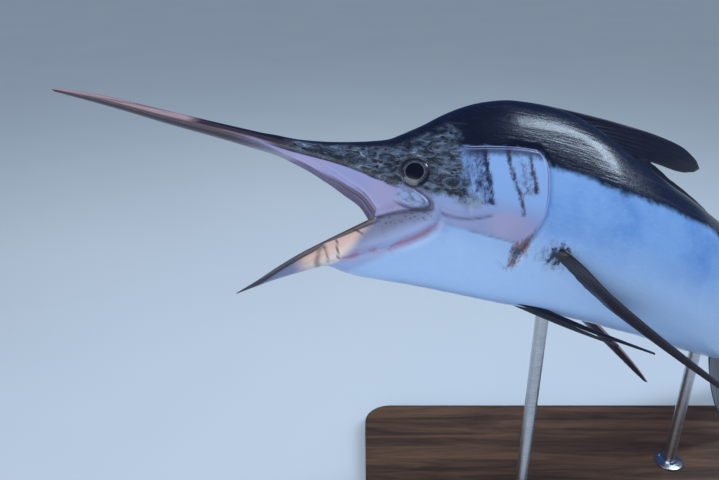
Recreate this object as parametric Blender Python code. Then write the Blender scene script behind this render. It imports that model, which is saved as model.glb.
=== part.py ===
# White marlin, life size, turning with its mouth open, on a flat base with two short rods.
# Units are metres and +Z is up. The origin is the centre of the underside of the base.
# The fish is modelled straight, with its mouth already open, in its own frame: x runs back
# from the tip of the closed lower jaw, -y is its left side, z is up. It is parted into nodes
# there, then bent along its spine and stood on the base as a whole.

import bmesh
import bpy
import math
import numpy as np
from mathutils import Matrix, Vector
from mathutils.bvhtree import BVHTree

# Driving dimensions
FORK_LENGTH = 1.72            # lower jaw tip to the fork of the tail
GAP = 0.0003                  # kept between touching nodes
GAPE = math.radians(34.4)     # how far the lower jaw hangs open
CRANIAL_LIFT = math.radians(3.5)
JAW_HINGE = (0.180, -0.016)   # x and z, as parts of the fork length
NAPE_HINGE = (0.205, 0.020)
MOUTH_CORNER = 0.136          # how far back both lips meet

# The bend of the spine: start and end along the body, swing to the right, droop of the tail
BEND_FROM, BEND_TO = 0.20, 0.60
BEND_SWING = math.radians(52.0)
BEND_DROOP = math.radians(8.9)
COUNTER_FROM, COUNTER_TO = 0.60, 0.97
COUNTER_SWING = math.radians(-55.0)
COUNTER_LIFT = math.radians(38.0)

# How the straight fish is turned on its stand, and where its lower jaw tip goes
STANCE_EULER = tuple(math.radians(a) for a in (-28.54, 10.69, -3.31))
STANCE_PLACE = (-0.66, -0.10, 0.755)

# Stand
BASE_SIZE = (0.90, 0.46, 0.030)
BASE_CORNER = 0.060
ROD_RADIUS = 0.011
ROD_STATIONS = (0.300, 0.560)

# Outlines along the body, as parts of the fork length
BILL_TOP = ((-0.165, 0.0105), (-0.148, 0.0128), (-0.118, 0.0155), (-0.064, 0.0166), (0.018, 0.0189),
            (0.049, 0.0201), (0.070, 0.0231), (0.110, 0.0331), (0.143, 0.0450))
BILL_BOTTOM = ((-0.165, 0.0075), (-0.139, 0.0074), (-0.109, 0.0070), (-0.056, 0.0053),
               (-0.007, 0.0046), (0.0245, 0.0028), (0.046, -0.0005), (0.067, -0.0022),
               (0.089, -0.0071), (0.107, -0.0137), (0.1225, -0.0195), (0.136, -0.0310))
BILL_WIDTH = ((-0.165, 0.0020), (-0.150, 0.0038), (-0.100, 0.0058), (-0.040, 0.0078), (0.010, 0.0105),
              (0.050, 0.0160), (0.090, 0.0240), (0.136, 0.0335))
JAW_TOP = ((0.0, -0.0110), (0.019, -0.0087), (0.046, -0.0043), (0.072, -0.0015), (0.098, -0.0004),
           (0.136, 0.0008))
JAW_BOTTOM = ((0.0, -0.0118), (0.022, -0.0130), (0.042, -0.0145), (0.059, -0.0167),
              (0.081, -0.0205), (0.103, -0.0395), (0.120, -0.0510), (0.136, -0.0614))
JAW_WIDTH = ((0.0, 0.0020), (0.020, 0.0075), (0.050, 0.0135), (0.085, 0.0200), (0.110, 0.0270),
             (0.136, 0.0335))
BACK = ((0.1335, 0.0480), (0.150, 0.0590), (0.174, 0.0780), (0.188, 0.0870), (0.209, 0.0966),
        (0.238, 0.1045), (0.275, 0.1075), (0.310, 0.1020), (0.355, 0.0870), (0.392, 0.0785),
        (0.432, 0.0730), (0.55, 0.065), (0.65, 0.055), (0.75, 0.043), (0.85, 0.029), (0.93, 0.0195),
        (0.985, 0.0185))
BELLY = ((0.1335, -0.0782), (0.240, -0.0780), (0.277, -0.0765), (0.40, -0.0745), (0.50, -0.0710),
         (0.60, -0.0610), (0.70, -0.0470), (0.80, -0.0330), (0.88, -0.0225), (0.94, -0.0180),
         (0.985, -0.0180))
MIDLINE = ((0.1335, -0.0266), (0.155, -0.0165), (0.174, -0.0086), (0.205, -0.0040), (0.280, 0.0),
           (0.985, 0.0))
BODY_WIDTH = ((0.1335, 0.0335), (0.155, 0.0365), (0.180, 0.0395), (0.210, 0.0435), (0.245, 0.0470),
              (0.310, 0.0500), (0.360, 0.0510), (0.450, 0.0490), (0.550, 0.0435), (0.650, 0.0355),
              (0.750, 0.0265), (0.850, 0.0180), (0.930, 0.0115), (0.985, 0.0095))
THROAT_FAN = ((0.1335, 34.4), (0.174, 34.4), (0.200, 30.0), (0.240, 15.0), (0.280, 5.0), (0.310, 0.0),
              (0.985, 0.0))
SKULL_FAN = ((0.1335, 3.5), (0.18, 2.5), (0.240, 0.0), (0.985, 0.0))

# Lips: a low bead just off the edge of both jaws, and its place as a share of a ring's first step
LIP_BEAD = 0.0010
LIP_SHARE = 0.35
THROAT = (0.205, -0.020)      # x and z of the back of the mouth

# Gill cover: its four edges in side view
COVER_FRONT = ((0.236, -0.0560), (0.214, -0.0150), (0.206, 0.0200), (0.203, 0.0480))
COVER_REAR = ((0.2516, -0.0510), (0.2522, -0.0410), (0.2545, -0.0300), (0.2590, -0.0200),
              (0.2640, -0.0100), (0.2668, 0.0020), (0.2672, 0.0140), (0.2660, 0.0285),
              (0.2642, 0.0400), (0.2620, 0.0470), (0.2585, 0.0525), (0.2530, 0.0560))
COVER_TOP = ((0.203, 0.0480), (0.2225, 0.0522), (0.2400, 0.0550), (0.2530, 0.0560))
COVER_BOTTOM = ((0.236, -0.0560), (0.244, -0.0545), (0.2516, -0.0510))
COVER_LIFT, COVER_FLARE, COVER_SINK = 0.0004, 0.0022, 0.0035

# Eye: where it looks out of the head, and its half sizes and depth under the skin in metres
EYE_PLACE = (0.160, 0.0170)
EYE_RADIUS, EYE_DEPTH, EYE_SINK = 0.0285, 0.0130, 0.0090
NOSTRILS = ((0.1395, 0.0245, 0.0024), (0.1440, 0.0238, 0.0030))     # x, z, and radius in metres

# Keels on the tail stalk
KEEL_FROM, KEEL_TO, KEEL_LEVEL = 0.925, 0.982, 0.0055
KEEL_HEIGHT, KEEL_HALF = 0.0035, 0.0026

# First dorsal fin: each ray's root on the back, and its tip. The front rays lie back over the others
LOBE_ROOTS = (0.236, 0.244, 0.252, 0.261, 0.270, 0.279, 0.288, 0.297, 0.306, 0.316, 0.330, 0.345,
              0.362, 0.380)
LOBE_TIPS = ((0.262, 0.1080), (0.288, 0.1100), (0.330, 0.1135), (0.379, 0.1185), (0.434, 0.1240),
             (0.462, 0.1185), (0.471, 0.1135), (0.461, 0.1065), (0.444, 0.0995), (0.427, 0.0955),
             (0.385, 0.0925), (0.399, 0.0910), (0.412, 0.0880), (0.424, 0.0848))
STRIP_FROM, STRIP_TO, STRIP_RAYS, STRIP_PARTED = 0.402, 0.735, 16, 8
STRIP_HEIGHT, STRIP_FALL, STRIP_LEAN = 0.0115, 0.0060, 0.024

# The other fins on the mid line: front, rear, heights along them, and how far they sweep back
SECOND_DORSAL = (0.800, 0.842, (0.006, 0.030, 0.038, 0.026, 0.016, 0.012), 1.10)
ANAL = (0.620, 0.735, (0.010, 0.050, 0.080, 0.088, 0.064, 0.042, 0.028, 0.020, 0.014), 1.05)
SECOND_ANAL = (0.792, 0.834, (0.006, 0.028, 0.036, 0.025, 0.016, 0.012), 1.10)
FIN_SINK = 0.012              # how far their roots reach into the body before they are cut to it
DORSAL_THICK, FIN_THICK = 0.0030, 0.0032      # half their thickness at the root, in metres

# Tail fin: root, sweep and height of a lobe, its chord, and half its thickness in metres
TAIL_ROOT, TAIL_SWEEP, TAIL_HEIGHT = 0.962, 0.115, 0.172
TAIL_CHORD, TAIL_TIP_CHORD, TAIL_THICK = 0.050, 0.006, 0.0052

# Pectoral fins: where they root, and how the left one leaves the body (back, in, up)
PECTORAL_ROOT = (0.281, -0.0255, 0.040)
PECTORAL_SPAN = (0.885, -0.170, -0.430)
PECTORAL_FLAT = (0.05, 0.97, -0.20)
PECTORAL_LENGTH, PECTORAL_SWEEP, PECTORAL_THICK, PECTORAL_KNOB = 0.225, 0.012, 0.0042, 0.0040
PECTORAL_WIDTH = ((0.0, 0.024), (0.06, 0.030), (0.15, 0.034), (0.6, 0.026), (0.9, 0.014), (1.0, 0.006))
PECTORAL_TWIST = ((0.0, -12.0), (0.12, -8.0), (0.30, 8.0), (1.0, 12.0))
PELVIC_ROOT = (0.262, -0.070, 0.012)
PELVIC_SPAN = (0.97, -0.05, -0.10)
PELVIC_FLAT = (0.0, 0.3, 1.0)
PELVIC_LENGTH, PELVIC_SWEEP, PELVIC_THICK, PELVIC_KNOB = 0.17, -0.004, 0.0018, 0.0008
PELVIC_WIDTH = ((0.0, 0.0075), (0.3, 0.0055), (1.0, 0.0022))
PELVIC_TWIST = ((0.0, 0.0), (1.0, 0.0))
RIM = 0.0006                  # half thickness of a fin at its edge

# Where the whole body is parted: the centre and height of a thin slab, and its turn in side view
SLABS = (("bill_cut", (0.0590, 0.0190), 0.060, CRANIAL_LIFT),
         ("jaw_cut", (0.1334, -0.0576), 0.072, -GAPE), ("neck_cut", (0.292, 0.0), 0.30, 0.0),
         ("loin_cut", (0.600, 0.0), 0.30, 0.0), ("stalk_cut", (0.905, 0.0), 0.20, 0.0))
PIECES = {"bill": (-0.16, 0.0, 0.02), "lower_jaw": (0.036, 0.0, -0.11), "head": (0.20, 0.0, 0.09),
          "trunk": (0.45, 0.0, 0.075), "tail": (0.75, 0.0, 0.043), "tail_stalk": (0.95, 0.0, 0.018)}

# Resolution
UPPER_STEPS, LOWER_STEPS = 16, 14
BILL_STATIONS, JAW_STATIONS, BODY_STATIONS, MOUTH_RINGS = 15, 12, 38, 4
COVER_ROWS, COVER_COLUMNS = 10, 8


def curve(points):
    """A smooth line through the points that never swings past them."""
    xs, ys = np.array(points, float).T
    h = np.diff(xs)
    slope = np.diff(ys) / h
    m = np.zeros(len(xs))
    for i in range(1, len(xs) - 1):
        if slope[i - 1] * slope[i] > 0:
            a, b = 2 * h[i] + h[i - 1], h[i] + 2 * h[i - 1]
            m[i] = (a + b) / (a / slope[i - 1] + b / slope[i])
    m[0], m[-1] = slope[0], slope[-1]

    def at(x):
        x = float(min(max(x, xs[0]), xs[-1]))
        i = min(max(int(np.searchsorted(xs, x)) - 1, 0), len(xs) - 2)
        t = (x - xs[i]) / h[i]
        return ((1 + 2 * t) * (1 - t) ** 2 * ys[i] + t * (1 - t) ** 2 * h[i] * m[i]
                + t * t * (3 - 2 * t) * ys[i + 1] + t * t * (t - 1) * h[i] * m[i + 1])
    return at


def line_at(points, by_length=False):
    """A smooth line through points in a plane or in space, read with 0 at its start, 1 at its end."""
    points = np.array(points, float)
    if by_length:
        steps = np.linalg.norm(np.diff(points, axis=0), axis=1)
    else:
        steps = np.ones(len(points) - 1)
    marks = np.concatenate([[0.0], np.cumsum(steps)]) / steps.sum()
    columns = [curve(list(zip(marks, column))) for column in points.T]
    return lambda t: np.array([column(t) for column in columns])


bill_top, bill_bottom, bill_width = curve(BILL_TOP), curve(BILL_BOTTOM), curve(BILL_WIDTH)
jaw_top, jaw_bottom, jaw_width = curve(JAW_TOP), curve(JAW_BOTTOM), curve(JAW_WIDTH)
back, belly, midline = curve(BACK), curve(BELLY), curve(MIDLINE)
body_width, throat_fan, skull_fan = curve(BODY_WIDTH), curve(THROAT_FAN), curve(SKULL_FAN)


def smooth(t):
    t = min(max(t, 0.0), 1.0)
    return t * t * (3 - 2 * t)


def swing(x, z, hinge, angle):
    """Turn a side-view point about a hinge; a positive angle lowers what is in front."""
    dx, dz = x - hinge[0], z - hinge[1]
    c, s = math.cos(angle), math.sin(angle)
    return hinge[0] + c * dx - s * dz, hinge[1] + s * dx + c * dz


def power(value, exponent):
    return math.copysign(abs(value) ** exponent, value)


def arc(width, rise, steps, out_power, up_power, lip=None):
    """Half a ring from the left edge over the middle to the right edge, as (y, height).

    With a lip it has one more point close to each edge, pushed out by the lip's swelling.
    """
    step = math.pi / steps
    turns = [step * j for j in range(steps + 1)]
    if lip is not None:
        turns[1:1] = [LIP_SHARE * step]
        turns[-1:-1] = [math.pi - LIP_SHARE * step]
    ring = [(-width * power(math.cos(a), out_power), rise * abs(math.sin(a)) ** up_power) for a in turns]
    if lip is not None:
        ring[1] = (ring[1][0] - lip, ring[1][1])
        ring[-2] = (ring[-2][0] + lip, ring[-2][1])
    return ring


def bill_rows(x):
    """The outer arc and the palate of the upper jaw at x, in the fish's frame."""
    top, bottom, width = bill_top(x), bill_bottom(x), bill_width(x)
    free = 1 - smooth(x / 0.09)                  # 1 on the round bill, 0 where the mouth is hollow
    edge = bottom + 0.42 * (top - bottom) * free
    outer = arc(width, top - edge, UPPER_STEPS, 0.92, 1.0, LIP_BEAD * smooth((x - 0.02) / 0.05))
    inner = arc(width, 1.0, LOWER_STEPS, 0.92, 0.8)[1:-1]
    lift = 0.38 * (top - bottom) * (1 - free) - (edge - bottom)
    place = lambda y, z: (*swing(x, z, NAPE_HINGE, -CRANIAL_LIFT), y)
    return [place(y, edge + h) for y, h in outer], [place(y, edge + lift * h) for y, h in inner]


def jaw_rows(x):
    """The outer arc and the mouth floor of the lower jaw at x, in the fish's frame."""
    edge, bottom, width = jaw_top(x), jaw_bottom(x), jaw_width(x)
    outer = arc(width, bottom - edge, LOWER_STEPS, 0.85, 0.9, LIP_BEAD * smooth((x - 0.01) / 0.05))
    hollow = 0.55 * min(edge - bottom, 0.030) * smooth(x / 0.03)
    inner = arc(width, 1.0, UPPER_STEPS, 0.92, 0.8)[1:-1]
    place = lambda y, z: (*swing(x, z, JAW_HINGE, GAPE), y)
    return [place(y, edge + h) for y, h in outer], [place(y, edge - hollow * h) for y, h in inner]


def body_row(x):
    """The upper and the lower arc of the head and trunk at x."""
    mid, width = midline(x), body_width(x)
    lean, fan = math.radians(skull_fan(x)), math.radians(throat_fan(x))
    rise = (back(x) - mid) / math.cos(lean)
    depth = (mid - belly(x)) / math.cos(fan)
    crest = 1.0 + 0.35 * math.exp(-((x - 0.22) / 0.07) ** 2)
    up = [(x + h * math.sin(lean), mid + h * math.cos(lean), y)
          for y, h in arc(width, rise, UPPER_STEPS, 0.9, crest, 0.0)]
    down = [(x + h * math.sin(fan), mid - h * math.cos(fan), y)
            for y, h in arc(width, depth, LOWER_STEPS, 0.85, 0.95, 0.0)]
    return up, down


class Loft:
    """Rows of vertices joined by strips of faces."""

    def __init__(self):
        self.bm = bmesh.new()

    def row(self, points):
        """points are (x, z, y) as parts of the fork length."""
        return [self.bm.verts.new((FORK_LENGTH * x, FORK_LENGTH * y, FORK_LENGTH * z))
                for x, z, y in points]

    def strip(self, a, b, closed=False):
        """Faces between two rows; a row of one vertex is a tip."""
        n = max(len(a), len(b))
        for j in range(n if closed else n - 1):
            k = (j + 1) % n
            loop = [a[j % len(a)], a[k % len(a)], b[k % len(b)], b[j % len(b)]]
            loop = list(dict.fromkeys(loop))
            if len(loop) > 2:
                self.bm.faces.new(loop)

    def finish(self, name):
        bmesh.ops.triangulate(self.bm, faces=self.bm.faces)
        bmesh.ops.recalc_face_normals(self.bm, faces=self.bm.faces)
        mesh = bpy.data.meshes.new(name)
        self.bm.to_mesh(mesh)
        self.bm.free()
        return link(bpy.data.objects.new(name, mesh))


def link(obj, cutter=False):
    (CUTTERS if cutter else PARTS).objects.link(obj)
    if cutter:
        obj.hide_render = True
        obj.display_type = "WIRE"
    return obj


def spread(start, end, count, ease=1.0):
    return [start + (end - start) * (i / count) ** ease for i in range(count + 1)]


def whole_body():
    """Bill, jaws, head and trunk as one closed surface, with the mouth as a pocket."""
    loft = Loft()
    nose = loft.row([(*swing(-0.168, 0.0090, NAPE_HINGE, -CRANIAL_LIFT), 0.0)])
    upper, palate = nose, nose
    for x in spread(-0.165, MOUTH_CORNER, BILL_STATIONS):
        outer, inner = bill_rows(x)
        row, roof = loft.row(outer), loft.row(inner)
        loft.strip(upper, row)
        roof = [row[0], *roof, row[-1]]
        loft.strip(palate, roof)
        upper, palate = row, roof
    chin = loft.row([(*swing(-0.002, -0.0114, JAW_HINGE, GAPE), 0.0)])
    lower, floor = chin, chin
    stations = spread(0.0, MOUTH_CORNER, JAW_STATIONS)
    for x in stations:
        outer, inner = jaw_rows(x)
        last = x == stations[-1]
        if last:
            row = [upper[0], *loft.row(outer[1:-1]), upper[-1]]
        else:
            row = loft.row(outer)
        bed = [row[0], *loft.row(inner), row[-1]]
        loft.strip(lower, row)
        loft.strip(floor, bed)
        lower, floor = row, bed
    throat = Vector((THROAT[0], 0.0, THROAT[1])) * FORK_LENGTH
    ring = palate + floor[-2:0:-1]
    start = [v.co.copy() for v in ring]
    for k in range(1, MOUTH_RINGS):
        t = k / MOUTH_RINGS
        shrink = (1 - t) ** 0.6
        points = [Vector((co.x + (throat.x - co.x) * t, co.y * shrink * 0.94,
                          throat.z + (co.z - throat.z) * shrink)) for co in start]
        inner = [loft.bm.verts.new(p) for p in points]
        loft.strip(ring, inner, closed=True)
        ring = inner
    loft.strip(ring, [loft.bm.verts.new(throat)], closed=True)
    for x in spread(BACK[0][0], BACK[-1][0], BODY_STATIONS, 1.25)[1:]:
        up, down = body_row(x)
        row = loft.row(up)
        keel = [row[0], *loft.row(down[1:-1]), row[-1]]
        loft.strip(upper, row)
        loft.strip(lower, keel)
        upper, lower = row, keel
    end = loft.row([(BACK[-1][0] + 0.002, 0.0, 0.0)])
    loft.strip(upper, end)
    loft.strip(lower, end)
    return loft.finish("body")


def box(name, centre, size, turn=0.0):
    """A cutter box, turned about Y in side view, in the fish's frame and metres."""
    bpy.ops.mesh.primitive_cube_add(size=1.0)
    obj = bpy.context.object
    obj.name = name
    for c in list(obj.users_collection):
        c.objects.unlink(obj)
    link(obj, cutter=True)
    obj.data.transform(Matrix.Translation(Vector(centre)) @ Matrix.Rotation(turn, 4, "Y")
                       @ Matrix.Diagonal((*size, 1.0)))
    return obj


def boolean(obj, cutter, operation="DIFFERENCE"):
    """Apply an exact Boolean, keep the mesh, and remove the cutter."""
    modifier = obj.modifiers.new("cut", "BOOLEAN")
    modifier.solver = "EXACT"
    modifier.operation = operation
    modifier.object = cutter
    bpy.context.view_layer.update()
    depsgraph = bpy.context.evaluated_depsgraph_get()
    mesh = bpy.data.meshes.new_from_object(obj.evaluated_get(depsgraph))
    obj.modifiers.clear()
    obj.data = mesh
    bpy.data.objects.remove(cutter)
    return obj


def islands(bm):
    """The separate closed surfaces of a mesh."""
    left, found = set(bm.verts), []
    while left:
        todo, island = [left.pop()], []
        while todo:
            v = todo.pop()
            island.append(v)
            for e in v.link_edges:
                other = e.other_vert(v)
                if other in left:
                    left.discard(other)
                    todo.append(other)
        found.append(island)
    return sorted(found, key=len, reverse=True)


def separate(obj, names):
    """Split obj into its closed surfaces; names maps a name to a point near its piece."""
    bm = bmesh.new()
    bm.from_mesh(obj.data)
    bmesh.ops.remove_doubles(bm, verts=bm.verts, dist=1e-6)
    pieces = [isle for isle in islands(bm) if len(isle) > 20]
    for name, near in names.items():
        point = Vector(near)
        isle = min(pieces, key=lambda isle: min((v.co - point).length for v in isle))
        copy = bm.copy()
        keep = {v.index for v in isle}
        bmesh.ops.delete(copy, geom=[v for v in copy.verts if v.index not in keep], context="VERTS")
        store(name, copy)
    bm.free()
    bpy.data.objects.remove(obj)


def store(name, bm):
    bmesh.ops.triangulate(bm, faces=bm.faces)
    mesh = bpy.data.meshes.new(name)
    bm.to_mesh(mesh)
    bm.free()
    return link(bpy.data.objects.new(name, mesh))


def keep_largest(obj):
    """Keep only the largest closed surface of a node."""
    bm = bmesh.new()
    bm.from_mesh(obj.data)
    bmesh.ops.remove_doubles(bm, verts=bm.verts, dist=1e-6)
    bmesh.ops.dissolve_degenerate(bm, edges=bm.edges, dist=1e-6)
    scraps = [v for isle in islands(bm)[1:] for v in isle]
    bmesh.ops.delete(bm, geom=scraps, context="VERTS")
    bmesh.ops.triangulate(bm, faces=bm.faces)
    bm.to_mesh(obj.data)
    bm.free()
    return obj


def swollen(mesh, distance, name):
    """A copy of a mesh grown outwards by a distance, as a cutter."""
    bm = bmesh.new()
    bm.from_mesh(mesh)
    bm.normal_update()
    shift = {v: v.normal * distance * v.calc_shell_factor() for v in bm.verts}
    for v, by in shift.items():
        v.co += by
    grown = bpy.data.meshes.new(name)
    bm.to_mesh(grown)
    bm.free()
    return link(bpy.data.objects.new(name, grown), cutter=True)


def fan_fin(name, roots, tips, thick, rays, steps):
    """A thin fin: rays run from the root line to the tip line, thicker than the skin between.

    roots and tips are side-view points, one for each ray or fewer; thick is half the thickness
    at the root, in metres.
    """
    loft = Loft()
    columns = 2 * rays - 1
    root_line, tip_line = line_at(roots), line_at(tips)
    faces = {-1: [], 1: []}
    for c in range(columns):
        t = c / (columns - 1)
        root, tip = root_line(t), tip_line(t)
        ridge = 1.0 if c % 2 == 0 else 0.55
        for side in faces:
            column = []
            for s in range(steps + 1):
                f = s / steps
                x, z = root + (tip - root) * f
                half = (RIM + (thick - RIM) * (1 - f) ** 0.8 * ridge) / FORK_LENGTH
                inside = 0 < c < columns - 1 and s < steps
                column.append((x, z, side * half * (1.0 if inside else 0.5)))
            faces[side].append(loft.row(column))
    for side in faces:
        for a, b in zip(faces[side], faces[side][1:]):
            loft.strip(a, b)
    left, right = faces[-1], faces[1]
    loft.strip(left[0], right[0])
    loft.strip(left[-1], right[-1])
    loft.strip([col[-1] for col in left], [col[-1] for col in right])
    loft.strip([col[0] for col in left], [col[0] for col in right])
    return loft.finish(name)


def first_dorsal():
    """The long first dorsal in three nodes: its folded front lobe, then the low strip in two."""
    rays = list(zip(LOBE_ROOTS, LOBE_TIPS))
    for x in spread(STRIP_FROM, STRIP_TO, STRIP_RAYS - 1):
        height = STRIP_HEIGHT - STRIP_FALL * (x - STRIP_FROM) / (STRIP_TO - STRIP_FROM)
        rays.append((x, (x + STRIP_LEAN, back(x + STRIP_LEAN) + height)))
    ends = (0, len(LOBE_ROOTS) - 1, len(LOBE_ROOTS) - 1 + STRIP_PARTED, len(rays) - 1)
    made = []
    for name, first, last in zip(("dorsal_fin", "dorsal_fin_middle", "dorsal_fin_rear"), ends, ends[1:]):
        own = rays[first:last + 1]
        if first:
            apart = 2 * GAP / FORK_LENGTH
            x, tip = own[0]
            own[0] = (x + apart, (tip[0] + apart, tip[1]))
        roots = [(x, back(x) - FIN_SINK) for x, tip in own]
        made.append(fan_fin(name, roots, [tip for x, tip in own], DORSAL_THICK, len(own), 5))
    return made


def mid_fin(name, shape, line, side, rays):
    """A fin on the rear of the body's mid line; side is 1 above and -1 below."""
    front, rear, heights, sweep = shape
    roots, tips = [], []
    for x, height in zip(spread(front, rear, len(heights) - 1), heights):
        roots.append((x, line(x) - side * FIN_SINK))
        tips.append((x + sweep * height, line(x + 0.3 * height) + side * height))
    return fan_fin(name, roots, tips, FIN_THICK, rays, 6)


def tail_lobe(name, side):
    """One lobe of the crescent tail; side is 1 above and -1 below."""
    loft = Loft()
    count, steps = 12, 9
    previous = None
    for i in range(count + 1):
        t = i / count
        level = side * (TAIL_HEIGHT * t + 0.5 * GAP / FORK_LENGTH)
        lead = TAIL_ROOT + TAIL_SWEEP * t ** 1.35
        chord = TAIL_CHORD * (1 - t) ** 0.75 + TAIL_TIP_CHORD
        half = (TAIL_THICK * (1 - t) ** 1.1 + RIM) / FORK_LENGTH
        ring = []
        for j in range(2 * steps):
            a = math.pi * j / steps
            along = 0.5 - 0.5 * math.cos(a)
            ridge = 1.0 if j % 2 == 0 else 0.78
            out = half * math.sin(a) * ridge * (1.25 - 0.6 * along)
            ring.append((lead + chord * along, level, out))
        row = loft.row(ring)
        if previous:
            loft.strip(previous, row, closed=True)
        else:
            loft.bm.faces.new(row)
        previous = row
    loft.bm.faces.new(previous)
    return loft.finish(name)


def paired_fin(name, side, root, span, flat, length, sweep, widths, twist, thick, knob, steps, rays):
    """A long narrow fin off the left (side -1) or right (1) flank, twisting along its span.

    root is x, z and the distance from the mid plane; the knob thickens the fin at its root.
    """
    loft = Loft()
    span = Vector(span).normalized()
    flat = Vector(flat)
    flat = (flat - span * flat.dot(span)).normalized()
    width_at, turn_at = curve(widths), curve(twist)
    start = Vector((root[0], -root[2], root[1]))
    columns = 2 * rays
    previous = None
    for i in range(steps + 1):
        t = i / steps
        across = Matrix.Rotation(math.radians(turn_at(t)), 3, span) @ flat
        normal = span.cross(across)
        half_width = 0.5 * width_at(t)
        half = (thick * (1 - t) ** 0.7 + knob * math.exp(-(t / 0.08) ** 2) + RIM) / FORK_LENGTH
        bow = sweep * math.sin(math.pi * t)
        ring = []
        for j in range(2 * columns):
            a = math.pi * j / columns
            ridge = 1.0 if j % 2 == 0 else 0.8
            p = (start + span * length * t + across * (half_width * math.cos(a) + bow)
                 + normal * half * math.sin(a) * ridge)
            ring.append((p.x, p.z, side * -p.y))
        row = loft.row(ring)
        if previous:
            loft.strip(previous, row, closed=True)
        else:
            loft.bm.faces.new(row)
        previous = row
    loft.bm.faces.new(previous)
    return loft.finish(name)


def flank_hit(x, z):
    """The place and the outward direction of the left flank at x and z, in metres."""
    start = Vector((FORK_LENGTH * x, -1.0, FORK_LENGTH * z))
    return FLANK_TREE.ray_cast(start, Vector((0, 1, 0)))[:2]


def flank(x, z):
    """Half width of the body at x and z."""
    return -flank_hit(x, z)[0].y / FORK_LENGTH


def lens(name, side, x, z, sizes, sink, cutter, segments=20, rings=10):
    """A flattened ball set in the flank and facing out of it; sizes are its half sizes."""
    place, out = flank_hit(x, z)
    place = place - out * sink
    mirror = Matrix.Diagonal((1, -side, 1, 1))
    facing = out.to_track_quat("Z", "X").to_matrix().to_4x4()
    bpy.ops.mesh.primitive_uv_sphere_add(segments=segments, ring_count=rings, radius=1.0)
    obj = bpy.context.object
    obj.name = name
    for c in list(obj.users_collection):
        c.objects.unlink(obj)
    link(obj, cutter)
    obj.data.transform(mirror @ Matrix.Translation(place) @ facing @ Matrix.Diagonal((*sizes, 1.0)))
    if side > 0:
        obj.data.flip_normals()
    return obj


def eye(name, side, grow=0.0):
    """An eye, wide and flat; grown by a gap it cuts its own socket."""
    sizes = (EYE_RADIUS + grow, EYE_RADIUS + grow, EYE_DEPTH + grow)
    return lens(name, side, *EYE_PLACE, sizes, EYE_SINK, grow > 0)


def keel(name, side, level):
    """One of the low ridges along the side of the tail stalk."""
    loft = Loft()
    previous = None
    stations = spread(KEEL_FROM, KEEL_TO, 8)
    for i, x in enumerate(stations):
        out = KEEL_HEIGHT * math.sin(math.pi * (0.04 + 0.92 * i / 8)) ** 0.8
        y = flank(x, level)
        row = loft.row([(x, level + KEEL_HALF, side * (y - 0.0016)), (x, level, side * (y + out)),
                        (x, level - KEEL_HALF, side * (y - 0.0016)), (x, level, side * (y - 0.0035))])
        if previous:
            loft.strip(previous, row, closed=True)
        else:
            loft.bm.faces.new(row)
        previous = row
    loft.bm.faces.new(previous)
    return loft.finish(name)


def cover(name, side):
    """A gill cover as a curved plate let into the side of the head, with a flared rear edge."""
    front, rear, top, bottom = (line_at(line, by_length=True) for line in
                                (COVER_FRONT, COVER_REAR, COVER_TOP, COVER_BOTTOM))
    loft = Loft()
    outer, inner = [], []
    for i in range(COVER_ROWS + 1):
        v = i / COVER_ROWS
        out_row, in_row = [], []
        for j in range(COVER_COLUMNS + 1):
            u = j / COVER_COLUMNS
            x, z = ((1 - u) * front(v) + u * rear(v) + (1 - v) * bottom(u) + v * top(u)
                    - (1 - u) * ((1 - v) * front(0) + v * front(1)) - u * ((1 - v) * rear(0) + v * rear(1)))
            y = flank(x, z)
            out_row.append((x, z, side * (y + COVER_LIFT + COVER_FLARE * smooth((u - 0.35) / 0.65))))
            in_row.append((x, z, side * (y - COVER_SINK)))
        outer.append(loft.row(out_row))
        inner.append(loft.row(in_row))
    for rows_of in (outer, inner):
        for a, b in zip(rows_of, rows_of[1:]):
            loft.strip(a, b)
    loft.strip(outer[0], inner[0])
    loft.strip(outer[-1], inner[-1])
    loft.strip([r[0] for r in outer], [r[0] for r in inner])
    loft.strip([r[-1] for r in outer], [r[-1] for r in inner])
    return loft.finish(name)


def spine_table():
    """Centre line and frames of the bent spine, at even steps."""
    xs = np.linspace(-0.4, 1.3, 3401)
    k = np.clip((xs - BEND_FROM) / (BEND_TO - BEND_FROM), 0, 1)
    c = np.clip((xs - COUNTER_FROM) / (COUNTER_TO - COUNTER_FROM), 0, 1)
    counter = c * c * (3 - 2 * c)
    heading = BEND_SWING * k + COUNTER_SWING * counter
    droop = BEND_DROOP * k - COUNTER_LIFT * counter
    tangent = np.stack([np.cos(heading) * np.cos(droop), np.sin(heading) * np.cos(droop),
                        -np.sin(droop)], 1)
    side = np.stack([-np.sin(heading), np.cos(heading), 0 * heading], 1)
    up = np.cross(tangent, side)
    centre = np.cumsum(tangent, 0) * (xs[1] - xs[0])
    zero = np.array([np.interp(0.0, xs, centre[:, i]) for i in range(3)])
    return xs, centre - zero, side, up


def bend(points):
    """Carry straight-fish points, in metres, onto the bent spine."""
    xs, centre, side, up = SPINE
    x = points[:, 0] / FORK_LENGTH
    pick = lambda table: np.stack([np.interp(x, xs, table[:, i]) for i in range(3)], 1)
    return pick(centre) * FORK_LENGTH + pick(side) * points[:, 1:2] + pick(up) * points[:, 2:3]


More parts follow.
